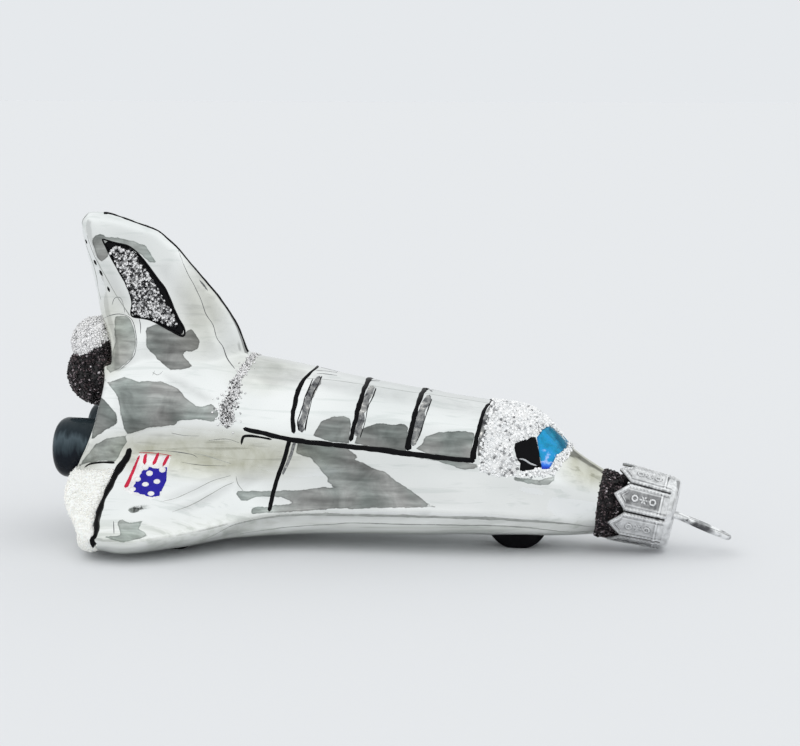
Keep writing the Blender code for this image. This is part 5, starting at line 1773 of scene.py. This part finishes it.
def add_hanger():
    face = CAP_END + HANGER_RISE
    middle = (0.5 * (LEG_SPREAD + LEG_OFFSET), 0.0, 0.5 * (LEG_START + LEG_STRAIGHT))
    leg = [(LEG_SPREAD, 0.0, LEG_START), middle, (LEG_OFFSET, 0.0, LEG_STRAIGHT), (LEG_OFFSET, 0.0, face)]
    start = math.asin(LEG_OFFSET / LOOP_RADIUS)
    loop = []
    for turn in np.linspace(start, 2 * math.pi - start, 49):
        out = LOOP_REACH - LOOP_RADIUS * math.cos(turn)
        loop.append((LOOP_RADIUS * math.sin(turn), -out * math.sin(LOOP_TILT),
                     face + out * math.cos(LOOP_TILT)))
    route = leg + loop + [(-y, x, z) for y, x, z in leg[::-1]]
    curve = bpy.data.curves.new("hanger_wire", "CURVE")
    curve.dimensions = "3D"
    curve.bevel_depth = WIRE_RADIUS * MM
    curve.bevel_resolution = 6
    curve.use_fill_caps = True
    spline = curve.splines.new("POLY")
    spline.points.add(len(route) - 1)
    for point, (y, x, z) in zip(spline.points, route):
        point.co = (-x * MM, y * MM, z * MM, 1.0)
    wire = add_object("hanger_wire", curve, smooth=False)
    wire.matrix_world = wire_matrix()
    add_piece("hanger_wire", applied(wire), wire_material(), "steel_wire", "hanger", body="hanger")


# Studio

def add_stage():
    """A wide plain pale floor."""
    corners = [(x * FLOOR_REACH, y * FLOOR_REACH, 0) for x, y in ((-1, -1), (1, -1), (1, 1), (-1, 1))]
    material, _ = new_material("pale_floor", Base_Color=FLOOR_COLOR, Roughness=1.0, Specular_IOR_Level=0.0)
    add_object("floor", array_mesh("floor", corners, [[(0, 1, 2, 3)]]), material, smooth=False)


def by_elevation(tree, elevation, stops):
    """Grey level over the elevation in degrees."""
    low, high = stops[0][0], stops[-1][0]
    share = calc(tree, "MULTIPLY_ADD", elevation, 1 / (high - low), -low / (high - low))
    return ramp(tree, share, [((angle - low) / (high - low), level) for angle, level in stops])


def between(tree, value, low, high, soft):
    """1 from low to high and 0 outside, with soft edges."""
    return calc(tree, "MULTIPLY", step_up(tree, value, low, soft),
                calc(tree, "SUBTRACT", 1.0, step_up(tree, value, high, soft)))


def add_world():
    """A soft room: light that grows upwards, with a few dark and bright shapes standing round."""
    world = bpy.data.worlds.new("studio")
    world.use_nodes = True
    tree = world.node_tree
    place = add_node(tree, "ShaderNodeTexCoord").outputs["Generated"]
    x, y, z = axes_of(tree, place)
    round_z = calc(tree, "ARCTAN2", x, calc(tree, "MULTIPLY", y, -1.0))
    azimuth, elevation = (calc(tree, "DEGREES", angle) for angle in (round_z, calc(tree, "ARCSINE", z)))
    wobble = calc(tree, "MULTIPLY_ADD", cloud(tree, place, 3.0, 3.0), 2 * CARD_WOBBLE, -CARD_WOBBLE)
    wrapped = calc(tree, "WRAP", calc(tree, "ADD", azimuth, wobble), CARD_SEAM + 360.0, CARD_SEAM)
    height = calc(tree, "ADD", elevation, wobble)
    level = by_elevation(tree, elevation, SKY)
    for left, right, bottom, top, lean, soft, shade in CARDS:
        rise = calc(tree, "DIVIDE", calc(tree, "SUBTRACT", elevation, bottom), top - bottom, clamp=True)
        right_edge = calc(tree, "MULTIPLY_ADD", rise, lean, right)
        mask = calc(tree, "MULTIPLY", between(tree, wrapped, left, right_edge, soft),
                    between(tree, height, bottom, top, soft))
        level = calc(tree, "MULTIPLY_ADD", mask, calc(tree, "SUBTRACT", shade, level), level)
    red, green, blue = (calc(tree, "MULTIPLY", level, share) for share in SKY_CAST)
    sky = add_node(tree, "ShaderNodeCombineColor", [("Red", red), ("Green", green), ("Blue", blue)])
    soft_light = by_elevation(tree, elevation, SOFT_LIGHT)
    path = add_node(tree, "ShaderNodeLightPath")
    lit = mix(tree, path.outputs["Is Glossy Ray"], soft_light, sky.outputs["Color"])
    shown = mix(tree, path.outputs["Is Camera Ray"], lit, BACKDROP)
    tree.links.new(shown, tree.nodes["Background"].inputs["Color"])
    bpy.context.scene.world = world


def build():
    rng = np.random.default_rng(SEED)
    add_camera()
    surface = add_glass()
    add_bells()
    add_wheels()
    glitter = grain("dome_glitter")
    add_glitter_ball(surface, rng, *DOME_BALL, glitter, glitter, "silver_glitter", dome_tones)
    add_glitter_ball(surface, rng, *BELL_BALL, grain("black_flakes"), paint("black_glue"), "black_glitter")
    add_neck()
    add_neck_ring(rng)
    add_cap()
    add_hanger()
    for add in (add_fin_panels, add_fin_edge, add_reflection_lines, add_shoulder_glitter, add_bay_lines, add_windows,
                add_beads, add_wing_lines, add_flag, add_frost):
        add(surface, rng)
    add_stage()
    add_world()
    bpy.context.scene.view_settings.view_transform = "Standard"


build()
